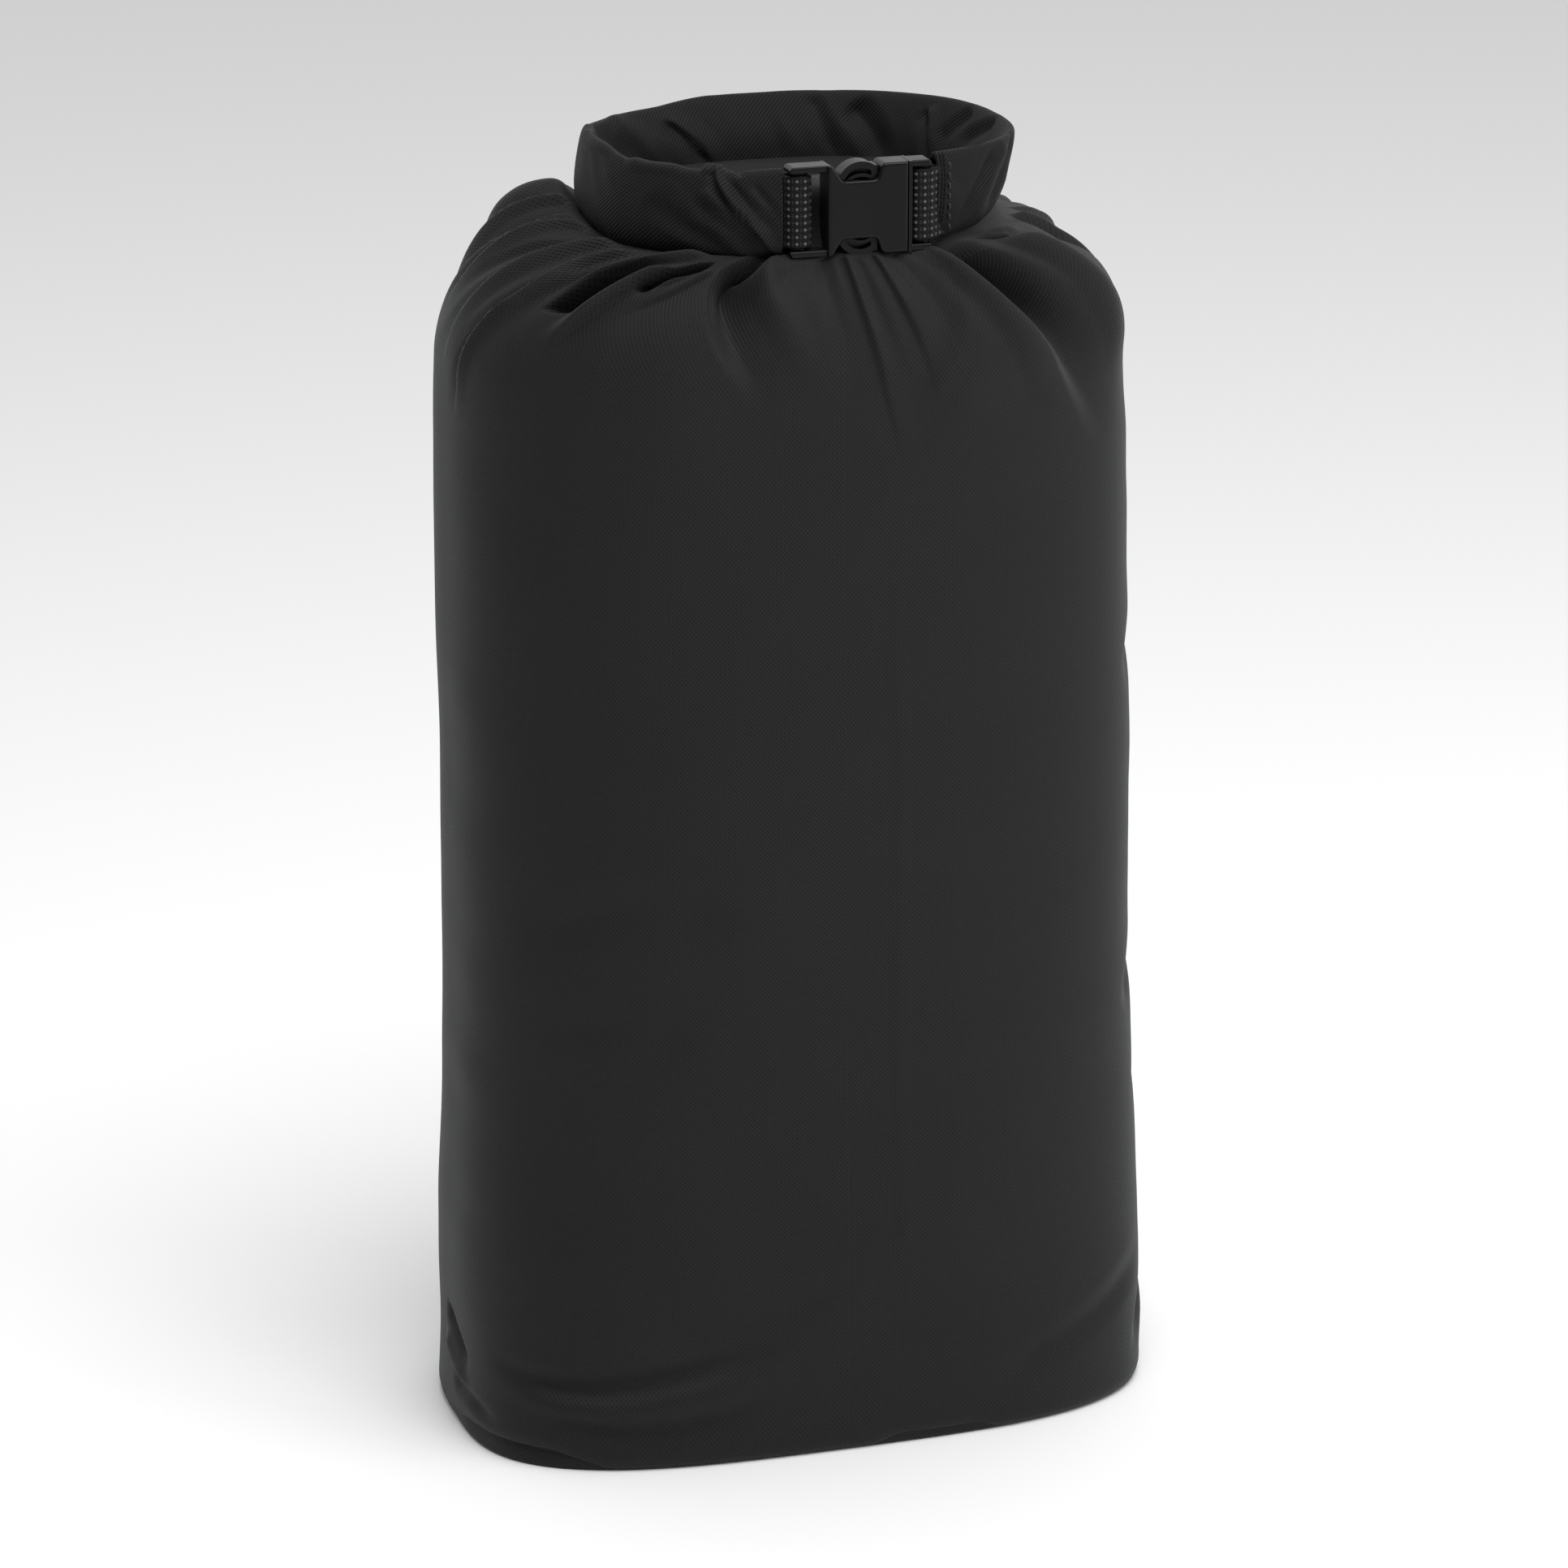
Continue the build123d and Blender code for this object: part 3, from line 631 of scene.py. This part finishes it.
def ring_path(way):
    """Centre line of the roll and its outward normal, by share of the way round the ring."""
    step = 1e-4
    half = (RING_HALF_WIDTH - RING_INSET, RING_HALF_DEPTH - RING_INSET)
    x, y = superellipse(*half, RING_SQUARENESS, way)
    x1, y1 = superellipse(*half, RING_SQUARENESS, way + step)
    x0, y0 = superellipse(*half, RING_SQUARENESS, way - step)
    tangent = np.stack([x1 - x0, y1 - y0], axis=-1)
    tangent /= np.linalg.norm(tangent, axis=-1, keepdims=True)
    normal = np.stack([tangent[:, 1], -tangent[:, 0]], axis=-1)
    return np.stack([x, y], axis=-1) + RING_CENTRE, normal


RING_ROUND = perimeter(RING_HALF_WIDTH - RING_INSET, RING_HALF_DEPTH - RING_INSET, RING_SQUARENESS)


def way_of_end(x):
    """Share of the way round the ring at which its front passes a place across it."""
    way = np.linspace(-0.25, 0.25, 2001)
    centre, _ = ring_path(way)
    return float(np.interp(x, centre[:, 0], way))


def roll_section():
    """Outline of the roll in (outward, up), from its lowest point up the outer face."""
    angle = np.linspace(-math.pi / 2, 1.5 * math.pi, SECTION_POINTS, endpoint=False)
    cos, sin = np.cos(angle), np.sin(angle)
    up = np.sign(sin) * np.abs(sin) ** (2 / 3.2)
    outward = np.sign(cos) * np.abs(cos) ** (2 / 2.6)
    outward = ROLL_HALF_THICKNESS * outward * (1 - TOP_THINNING * smooth(-0.2, 1.0, up))
    outward = outward + TOP_OUTWARD * smooth(0.0, 1.0, up)
    return outward, ROLL_HALF_HEIGHT * up


# Creases of the roll: distance round the ring from its front centre, then distance up over the
# section from its lowest point, the outer face first.
ROLL_CREASES = (
    # front left, where the strip is drawn into the hem behind the webbing
    ("pleat", ((-34, 27), (-33.6, 23), (-29, 15.6), (-23.7, 8.8), (-18, 0)), (2.2, 3.6), 1.0),
    ("valley", ((-52, 18), (-44, 13), (-36, 8.5), (-28, 2)), (4.5, 4.5), 1.1),
    ("valley", ((-40, 18.5), (-30, 11.9), (-21, 3)), (3.6, 4.0), 1.1),
    ("ridge", ((-38, 21), (-34, 17.6), (-24, 8), (-19, 2)), (2.5, 3), 0.6),
    ("valley", ((-31, 24), (-25.3, 16.6), (-18.1, 8)), (1.8, 2.5), 0.8),
    ("valley", ((-25, 23), (-21, 17), (-17, 12)), (1.8, 2), 0.6),
    ("ridge", ((-38, 27.5), (-31, 27.5)), (3.2, 3.2), 1.3),
    ("valley", ((-29, 28), (-27, 24)), (2.5, 2.0), 0.8),
    ("ridge", ((-62, 26), (-50, 27), (-40, 26)), (4, 4), 0.8),
    ("valley", ((-90, 29), (-80, 28), (-68, 30)), (2.0, 2.0), 1.8),
    ("ridge", ((-92, 25), (-80, 24.5), (-66, 26)), (3, 3), 0.7),
    # front right, beside the hem
    ("valley", ((44, 24), (38, 14), (31, 2)), (3.5, 4), 1.0),
    ("ridge", ((50, 25), (44, 15), (37, 3)), (3.5, 4), 0.6),
    ("valley", ((58, 27), (52, 16), (46, 4)), (4, 5), 1.0),
    ("valley", ((30, 31), (36, 28), (44, 29)), (2.2, 2.2), 1.6),
    # inner face of the back, seen over the front
    ("pleat", ((-132, 30), (-140, 38), (-148, 47)), (5, 8), 0.9),
    ("valley", ((-96, 28), (-110, 35), (-124, 45)), (8, 10), 1.0),
    ("ridge", ((-112, 28), (-122, 34), (-132, 43)), (6, 7), 0.9),
    ("valley", ((131, 30), (124, 37), (116, 47)), (6, 7.5), 1.9),
    ("pleat", ((108, 30), (104, 36), (100, 43)), (4.5, 5.5), 1.2),
    ("valley", ((90, 28), (95, 34), (100, 40)), (4, 5), 1.2),
    ("valley", ((74, 28), (82, 33), (90, 38)), (4, 5), 1.5),
    ("valley", ((156, 28), (153, 38), (150, 47)), (4, 5), 0.7),
    ("valley", ((142, 27), (138, 37), (134, 46)), (4, 5), 0.8),
)
CREASE_DEPTH = 1.3          # all of these depths are scaled by this
# The rows that turn an end of the roll in: the size of each, and how far back it stands
END_TURN = ((0.96, -0.25), (0.9, -0.3), (0.84, -0.1), (0.8, 0.6), (0.76, 3.0))
HEM_LINES = (0.7, 1.6)      # from the right end of the roll, the two edges of its hem
SIDE_CREASES = 18           # small diagonal creases round the outside of the back and sides
FIRST_CREASE, LAST_CREASE = 88.0, 96.0  # round from the front centre, to the right and to the left
ROLL_TOP_ARC = 27.0         # how far up over the section its top edge is
BACK_REST = 14.0            # the middle of the back has no creases over this length each way
JOIN_WAY = 0.335            # the two lengths of the roll meet at a pleat on the right of the back
BACK_WAY = -0.5             # share of the way round of the middle of the back, from the left
STRIP_GAP, STRIP_END = 0.001, 0.03  # the strip stops this share of the way short, there and in front
ROLL_FLARE = 2.6            # how far the top of the roll stands out and its foot is tucked in
FLARE_START, FLARE_END = 36, 62     # distances from the front centre over which it sets in
RIGHT_FOOT_LEAN = 7.4       # how far the foot of the roll leans to the left, at its right side
LEFT_FOOT_LEAN = 1.4        # and at its left side
RIGHT_SHIFT = 1.6           # how far the whole right side stands out
FRONT_SAG = 2.1             # how far the front left sinks
BACK_SAG = 1.8              # how far the top edge sinks at the back left
STATION_CROWDING = 1.7      # cross sections stand closer together towards the front ends


def roll_relief(a, v):
    """Creases and waves of the roll, out of its plain surface, over the whole ring."""
    relief = np.zeros_like(a)
    for kind, path, width, depth in ROLL_CREASES:
        relief += stroke(a, v, path, width, CREASE_DEPTH * depth, kind, taper=(0.2, 0.3))
    for inset in HEM_LINES:
        line = way_of_end(RIGHT_END + inset) * RING_ROUND
        relief += stroke(a, v, ((line, 1), (line, 27)), (0.4, 0.4), 0.45, "valley", taper=(0.05, 0.1))
    pitch = (RING_ROUND - FIRST_CREASE - LAST_CREASE) / (SIDE_CREASES - 1)
    rng = np.random.default_rng(19)
    for crease in range(SIDE_CREASES):
        place = FIRST_CREASE + crease * pitch
        place = place if place < RING_ROUND / 2 else place - RING_ROUND
        lean = rng.uniform(5, 11) * rng.choice((-1, 1))
        path = ((place - lean / 2, rng.uniform(15, 20)), (place + lean / 2, rng.uniform(1, 7)))
        relief += stroke(a, v, path, (3.0, 4.0), rng.uniform(0.4, 0.9), "valley", taper=(0.3, 0.4))
    crumple = value_noise(a + 500, v * 0.7, 13.0, 21) * 0.4
    crumple += value_noise(a + 0.8 * v + 500, v * 0.25 + 40, 4.5, 23) * 0.22
    rim = np.exp(-((v - ROLL_TOP_ARC) / 5.0) ** 2)
    relief += crumple * (1 - 0.7 * rim)
    back = RING_ROUND / 2
    return relief * (1 - smooth(back - BACK_REST, back, np.abs(a)))


def settle_roll(points, a):
    """Lean, sag and uneven rim of the finished roll."""
    below_top = np.clip((ROLL_HIGH - points[..., 2]) / (2 * ROLL_HALF_HEIGHT), 0, 1)
    off_centre = points[..., 0] - RING_CENTRE[0]
    right, left = smooth(15, 52, off_centre), smooth(15, 52, -off_centre)
    lean = RIGHT_FOOT_LEAN * right + LEFT_FOOT_LEAN * left
    sag = FRONT_SAG * smooth(-80, -52, a) * (1 - 0.3 * smooth(-27, -19, a)) * smooth(0, -4, a)
    sag += BACK_SAG * smooth(-96, -112, a) * (1 - smooth(-128, -150, a)) * (1 - below_top)
    depth = (points[..., 1] - RING_CENTRE[1]) / RING_HALF_DEPTH
    flare = ROLL_FLARE * depth * (1 - 2 * below_top) * smooth(FLARE_START, FLARE_END, np.abs(a))
    settled = points.copy()
    settled[..., 0] += RIGHT_SHIFT * right - lean * below_top
    settled[..., 1] += flare
    settled[..., 2] -= sag
    return settled


def close_end(points):
    """Further rows that turn the end of a swept roll in on itself, like folded fabric."""
    last = points[-1]
    middle = last.mean(axis=0)
    back = points[-8].mean(axis=0) - middle
    back /= np.linalg.norm(back)
    rows = [middle + (last - middle) * size + back * depth for size, depth in END_TURN]
    return np.concatenate([points, np.array(rows)])


def swept_strip(name, start, end, section, stations, relief=None):
    """A closed outline in (outward, up) carried round the ring between two shares of the way."""
    outward, up = section
    step = np.hypot(np.diff(outward, append=outward[0]), np.diff(up, append=up[0]))
    arc = np.concatenate([[0], np.cumsum(step)])
    share = np.linspace(0, 1, stations)
    way = start + (end - start) * (1 - (1 - share) ** STATION_CROWDING)
    centre, normal = ring_path(way)
    points = np.zeros((stations, len(up), 3))
    points[..., :2] = centre[:, None, :] + normal[:, None, :] * outward[None, :, None]
    points[..., 2] = ROLL_MIDDLE + up[None, :]
    v, a = np.meshgrid(arc, way * RING_ROUND)
    signed = np.where(a < -RING_ROUND / 2, a + RING_ROUND, a)[:, :-1]
    if relief is not None:
        facing = -1.0 if end > start else 1.0
        lift = relief(signed, v[:, :-1])[..., None]
        points = points + grid_normals(points) * facing * lift
    points = settle_roll(points, signed)
    if relief is not None:
        points = close_end(points)
        a = np.concatenate([a, np.repeat(a[-1:], len(END_TURN), axis=0)])
        v = np.concatenate([v, np.repeat(v[-1:], len(END_TURN), axis=0)])
    return grid_object(name, points, a, v, caps=True)


def bend_with_tab(piece, hold):
    """Find where the collar holds a piece of the ring, and bake the piece's transform into its mesh."""
    held_x, held_y = ring_path(np.array([hold]))[0][0]
    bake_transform(piece)


def build_roll(name, start, end, hold, nodes):
    """One length of the rolled mouth, from the back of the ring to one of its front ends."""
    roll = swept_strip(name, start, end, roll_section(), stations=460, relief=roll_relief)
    # Painted light: the roll's cloth is one black cloth with the bag's, given a lighter tone (0.019
    # against 0.0155) to make up for the shade that falls on the roll inside the ring.
    twill = fabric_material("roll_twill", crossing=False, light=0.019, sheen=0.02, shine=0.1)
    dress(roll, twill, nodes)
    bend_with_tab(roll, hold)


def build_stiffener(name, start, end, hold, nodes):
    """One length of the flat strip inside the roll."""
    angle = np.linspace(0, math.tau, 24, endpoint=False)
    cos, sin = np.cos(angle), np.sin(angle)
    half_thickness, half_height, power = 0.5, 6.0, 0.4
    stands_out, hangs_down = 0.6, 2.5       # from the roll's middle line
    outward = half_thickness * np.sign(cos) * np.abs(cos) ** power + stands_out
    up = half_height * np.sign(sin) * np.abs(sin) ** power - hangs_down
    strip = swept_strip(name, start, end, (outward, up), stations=160)
    plastic = plastic_material("strip_plastic", low=0.05, high=0.08, roughness=0.4, relief=0.01)
    dress(strip, plastic, nodes)
    bend_with_tab(strip, hold)


# --------------------------------------------------------------------------- base

# Section of the base panel's rim: height, then how far it stands in from the bag's outline
RIM = ((11.0, 3.6), (8.0, 2.6), (5.6, 1.9), (4.2, 1.5), (3.0, 1.3), (2.0, 1.2), (1.1, 1.3), (0.5, 1.6),
       (0.15, 2.2), (0.0, 3.2), (0.0, 8.0), (0.3, 9.0), (0.3, 11.0), (0.0, 12.0), (0.0, 30.0))


def oval_rows(rows, columns):
    """Loops of points round the bag, one for each (height, inset)."""
    fraction = np.arange(columns) / columns
    points = np.zeros((len(rows), columns, 3))
    for index, (height, inset) in enumerate(rows):
        x, y = superellipse(HALF_WIDTH - inset, HALF_DEPTH - inset, BASE_SQUARENESS, fraction)
        points[index] = np.stack([x + BASE_LEAN, y, np.full(columns, float(height))], axis=-1)
    return points


def build_base():
    """Base panel: its rim rolls out from the seam and under to a flat bottom."""
    columns = 720
    rim = np.array(RIM)
    place = np.linspace(0, len(rim) - 1, 3 * len(rim))
    rows = np.stack([np.interp(place, np.arange(len(rim)), rim[:, k]) for k in (0, 1)], axis=-1)
    points = oval_rows(rows, columns)
    s, t = fabric_grid(columns, rows[:, 1] - rows[:, 0])
    wave, wander, depth = 4.3, 31.0, 0.22
    pucker = depth * np.sin(s[:, :-1] / wave + 2 * np.sin(s[:, :-1] / wander))
    pucker *= smooth(1.0, 4.0, rows[:, 0])[:, None]
    points = points + grid_normals(points) * pucker[..., None]
    points[..., 2] = np.maximum(points[..., 2], 0)
    base = grid_object("base_shell", points, s, t, caps=True)
    dress(base, fabric_material("base_weave", crossing=True), ["base_panel"], "sack")


def build_seam_binding():
    """Inside the bag: the tape over the raw edges of the base seam."""
    columns = 360
    binding_rows = (
        (4.4, 4.6), (8.5, 4.4), (12.6, 4.8), (13.0, 5.4), (12.6, 6.0), (8.5, 6.2), (4.4, 6.0))
    points = oval_rows(binding_rows, columns)
    row_spacing, wave, depth = 3.0, 9.0, 0.25
    s, t = fabric_grid(columns, np.arange(len(binding_rows)) * row_spacing)
    points[..., 2] += depth * np.sin(s[:, :-1] / wave)
    binding = grid_object("seam_binding", points, s, t, ring=True)
    weave = fabric_material("binding_weave", crossing=False, pitch=0.8)
    dress(binding, weave, ["base_seam_binding"], "sack")


def build_seam_thread():
    """The thread through the base seam and its binding."""
    angle = np.linspace(0, math.tau, 8, endpoint=False)
    radius, height, inset, stitch, depth = 0.28, 8.5, 6.7, 3.2, 0.2
    cord_rows = np.stack([height + radius * np.sin(angle), inset + radius * np.cos(angle)], axis=-1)
    columns = 1200
    points = oval_rows(cord_rows, columns)
    s, t = fabric_grid(columns, angle * radius)
    points[..., 2] += np.sin(s[:, :-1] * math.tau / stitch) * depth
    cord = grid_object("seam_thread", points, s, t, ring=True)
    dress(cord, thread_material(), ["base_seam_thread"], "sack")


# --------------------------------------------------------------------------- webbing and stitches

WEB_WIDTH = WEB_HIGH[2] - WEB_LOW[2]
WEB_THICKNESS = 1.4
WEB_ROW_PITCH = 1.82
WEB_COLUMN_PITCH = 2.0
BAR_ROUND = 2.6             # from an end bar's middle line to the webbing's
BAR_HALF = 0.55             # half the flat length of an end bar
LEFT_BAR = FEMALE_LOW[0] + 2.75     # middles of the end bars
RIGHT_BAR = MALE_HIGH[0] - 1.75
WEB_ROOT = 4.0              # from an end bar to where the loop's layers meet
WEB_TAIL = 4.0              # and from there to their ends, inside the roll
RIB_DEPTH = 0.09


def web_path(bar_x, side, tail_y):
    """Middle line of a webbing loop in plan: out of the roll, round the bar and back in."""
    turn = np.linspace(0, math.pi, 25)
    wrap_x = bar_x - side * BAR_HALF
    arc_x = wrap_x - side * BAR_ROUND * np.sin(turn)
    arc_y = BUCKLE_Y - BAR_ROUND * np.cos(turn)
    root_x = bar_x + side * (BAR_HALF + WEB_ROOT)
    tail_x = root_x + side * WEB_TAIL
    bulge_x = bar_x + side * (BAR_HALF + 1.0)
    front = [(tail_x, tail_y - 0.8), (root_x, BUCKLE_Y + 0.4), (bulge_x, BUCKLE_Y - BAR_ROUND * 0.88)]
    back = [(bulge_x, BUCKLE_Y + BAR_ROUND * 0.95), (root_x, BUCKLE_Y + 2.1), (tail_x, tail_y + 0.8)]
    line = np.array(front + list(zip(arc_x, arc_y)) + back)
    step = np.hypot(*np.diff(line, axis=0).T)
    way = np.concatenate([[0], np.cumsum(step)])
    even = np.linspace(0, way[-1], 260)
    return np.stack([np.interp(even, way, line[:, k]) for k in (0, 1)], axis=-1), even


def build_webbing(name, node, bar_x, side, tab):
    """A loop of ribbed webbing round one end bar of the buckle."""
    tail_x = bar_x + side * (BAR_HALF + WEB_ROOT + WEB_TAIL)
    tail_y = ring_path(np.array([way_of_end(tail_x)]))[0][0, 1]
    line, way = web_path(bar_x, side, tail_y)
    tangent = np.gradient(line, axis=0)
    tangent /= np.linalg.norm(tangent, axis=1, keepdims=True)
    normal = np.stack([tangent[:, 1], -tangent[:, 0]], axis=-1) * side
    across = 84
    half = WEB_WIDTH / 2
    edge_round, least = 0.5, 0.01       # so that the two faces don't quite meet at the edge
    face = np.linspace(-half, half, across)
    heights = np.concatenate([face, face[::-1]])
    sides = np.concatenate([np.ones(across), -np.ones(across)])
    edge = np.sqrt(np.clip((half - np.abs(heights)) / edge_round, least, 1))
    u, v = np.meshgrid(way, heights, indexing="ij")
    cell_u = np.cos(math.tau * u / WEB_COLUMN_PITCH)
    cell_v = np.cos(math.tau * v / WEB_ROW_PITCH)
    rib = -RIB_DEPTH * cell_u * cell_v
    out = sides * edge * (WEB_THICKNESS / 2 - 0.12 + rib)
    points = np.zeros((len(way), len(heights), 3))
    points[..., :2] = line[:, None, :] + normal[:, None, :] * out[..., None]
    points[..., 2] = BUCKLE_Z + heights[None, :]
    u_full = np.concatenate([u, u[:, :1]], axis=1)
    v_full = np.concatenate([v, v[:, :1]], axis=1)
    webbing = grid_object(name, points, u_full, v_full, caps=True)
    dress(webbing, webbing_material(), [node], tab)


def build_stitches(name, node, end_x, side, tab, face_out):
    """A column of lockstitches beside the hem, on the outer (1) or the inner (-1) face."""
    count, pitch, length, radius = 7, 2.7, 1.9, 0.32
    from_end, face_depth, end_sink = 2.6, 4.3, 0.35
    x = end_x + side * from_end
    centre, normal = ring_path(np.array([way_of_end(x)]))
    outward = normal[0] * face_out
    face = centre[0] + outward * face_depth
    tangent = np.array([-normal[0][1], normal[0][0]])
    angle = np.linspace(0, math.tau, 13)[:-1]
    way = np.linspace(-1, 1, 15)
    mesh_all = bmesh.new()
    for index in range(count):
        middle = ROLL_MIDDLE + (index - (count - 1) / 2) * pitch
        loops = []
        for share in way:
            girth = radius * math.sqrt(max(1 - share**4, 0.02)) * (1 + 0.12 * math.cos(share * 14))
            sink = end_sink * share * share
            loop = []
            for turn in angle:
                plan = face + tangent * girth * math.cos(turn) + outward * (girth * math.sin(turn) - sink)
                height = middle + share * length / 2
                loop.append(mesh_all.verts.new((plan[0] * MM, plan[1] * MM, height * MM)))
            loops.append(loop)
        for low, high in zip(loops, loops[1:]):
            for k in range(len(angle)):
                after = (k + 1) % len(angle)
                mesh_all.faces.new((low[k], low[after], high[after], high[k]))
        mesh_all.faces.new(loops[0][::-1])
        mesh_all.faces.new(loops[-1])
    bmesh.ops.recalc_face_normals(mesh_all, faces=mesh_all.faces)
    mesh = bpy.data.meshes.new(name)
    mesh_all.to_mesh(mesh)
    mesh_all.free()
    mesh.polygons.foreach_set("use_smooth", [True] * len(mesh.polygons))
    dress(add_object(name, mesh), thread_material(), [node], tab)


def finish_buckle():
    """The buckle keeps its CAD shape and gets a satin moulded skin."""
    plastic = plastic_material("buckle_satin", low=0.004, high=0.006, roughness=0.28, relief=0.01)
    for node in ("buckle_female", "buckle_male", "spring_arm_upper", "spring_arm_lower"):
        for slot in bpy.data.objects[node].material_slots:
            slot.material = plastic


# --------------------------------------------------------------------------- stage

STUDIO_LIGHT = 0.95
CAMERA_SIDE_LIGHT = 0.1
CAMERA_AZIMUTH, CAMERA_ELEVATION = math.radians(-17), math.radians(18)
CAMERA_DISTANCE, CAMERA_LENS = 1.556, 130.4     # metres, and millimetres on a 36 mm sensor
CAMERA_AIM = Vector((-0.001, 0, 0.176))
LIGHT_AIM = Vector((0, 0, 0.25))
# Large soft lights: name, place in metres, watts and size in metres
SOFT_LIGHTS = (
    ("key", (0.05, -0.65, 1.8), 27.0, 1.1),
    ("side", (1.5, -1.1, 0.8), 9.0, 0.8),
)


def light_studio(towards_camera):
    """White all round and overhead, but dim behind the camera, so that edges catch the light."""
    world = bpy.data.worlds.new("studio")
    bpy.context.scene.world = world
    world.use_nodes = True
    tree = world.node_tree
    place = add_node(tree, "ShaderNodeTexCoord").outputs["Generated"]
    directions = {0: place, 1: towards_camera}
    facing = add_node(tree, "ShaderNodeVectorMath", directions, operation="DOT_PRODUCT")
    levels = {"Value": facing.outputs["Value"], "From Min": -0.15, "From Max": 0.8,
              "To Min": STUDIO_LIGHT, "To Max": CAMERA_SIDE_LIGHT}
    dim = add_node(tree, "ShaderNodeMapRange", levels, interpolation_type="SMOOTHSTEP")
    seen_directly = add_node(tree, "ShaderNodeLightPath").outputs["Is Camera Ray"]
    strength = add_node(tree, "ShaderNodeMix", {0: seen_directly, 2: dim.outputs[0], 3: 1.0})
    background = tree.nodes["Background"]
    background.inputs["Color"].default_value = (1, 1, 1, 1)
    tree.links.new(strength.outputs[0], background.inputs["Strength"])


def build_stage():
    """A pale floor, soft light from all round and a camera at the product-photo angle."""
    bpy.ops.mesh.primitive_plane_add(size=8.0, location=(0, 0, 0))
    floor = bpy.context.object
    floor.name = "floor"
    material = bpy.data.materials.new("floor")
    material.use_nodes = True
    shader = material.node_tree.nodes["Principled BSDF"]
    shader.inputs["Base Color"].default_value = (0.9, 0.9, 0.9, 1)
    shader.inputs["Roughness"].default_value = 1.0
    floor.data.materials.append(material)

    level = math.cos(CAMERA_ELEVATION)
    direction = Vector((math.sin(CAMERA_AZIMUTH) * level, -math.cos(CAMERA_AZIMUTH) * level,
                        math.sin(CAMERA_ELEVATION)))
    light_studio(direction)

    bpy.context.scene.view_settings.view_transform = "Standard"

    camera_data = bpy.data.cameras.new("camera")
    camera_data.lens = CAMERA_LENS
    camera_data.sensor_width = 36.0
    camera = add_object("camera", camera_data)
    camera.location = CAMERA_AIM + direction * CAMERA_DISTANCE
    camera.rotation_euler = direction.to_track_quat("Z", "Y").to_euler()
    bpy.context.scene.camera = camera

    for name, place, power, size in SOFT_LIGHTS:
        data = bpy.data.lights.new(name, "AREA")
        data.energy = power
        data.size = size
        light = add_object(name, data)
        light.location = place
        light.rotation_euler = (light.location - LIGHT_AIM).to_track_quat("Z", "Y").to_euler()


build_bag()
build_base()
build_seam_binding()
build_seam_thread()
left_way = way_of_end(LEFT_END)
right_way = way_of_end(RIGHT_END)
build_roll("roll_left_half", JOIN_WAY - 1, left_way, BACK_WAY, ["roll_left", "roll_back"])
build_roll("roll_right_half", JOIN_WAY, right_way, JOIN_WAY, ["roll_right"])
build_stiffener("strip_left_half", JOIN_WAY - 1 + STRIP_GAP, left_way - STRIP_END,
                BACK_WAY, ["stiffener_left", "stiffener_back"])
build_stiffener("strip_right_half", JOIN_WAY - STRIP_GAP, right_way + STRIP_END,
                JOIN_WAY, ["stiffener_right"])
build_webbing("webbing_loop_left", "webbing_left", LEFT_BAR, -1, "left_tab")
build_webbing("webbing_loop_right", "webbing_right", RIGHT_BAR, 1, "right_tab")
build_stitches("hem_stitches_left_row", "hem_stitches_left", LEFT_END, -1, "left_tab", -1)
build_stitches("hem_stitches_right_row", "hem_stitches_right", RIGHT_END, 1, "right_tab", 1)
finish_buckle()
build_stage()
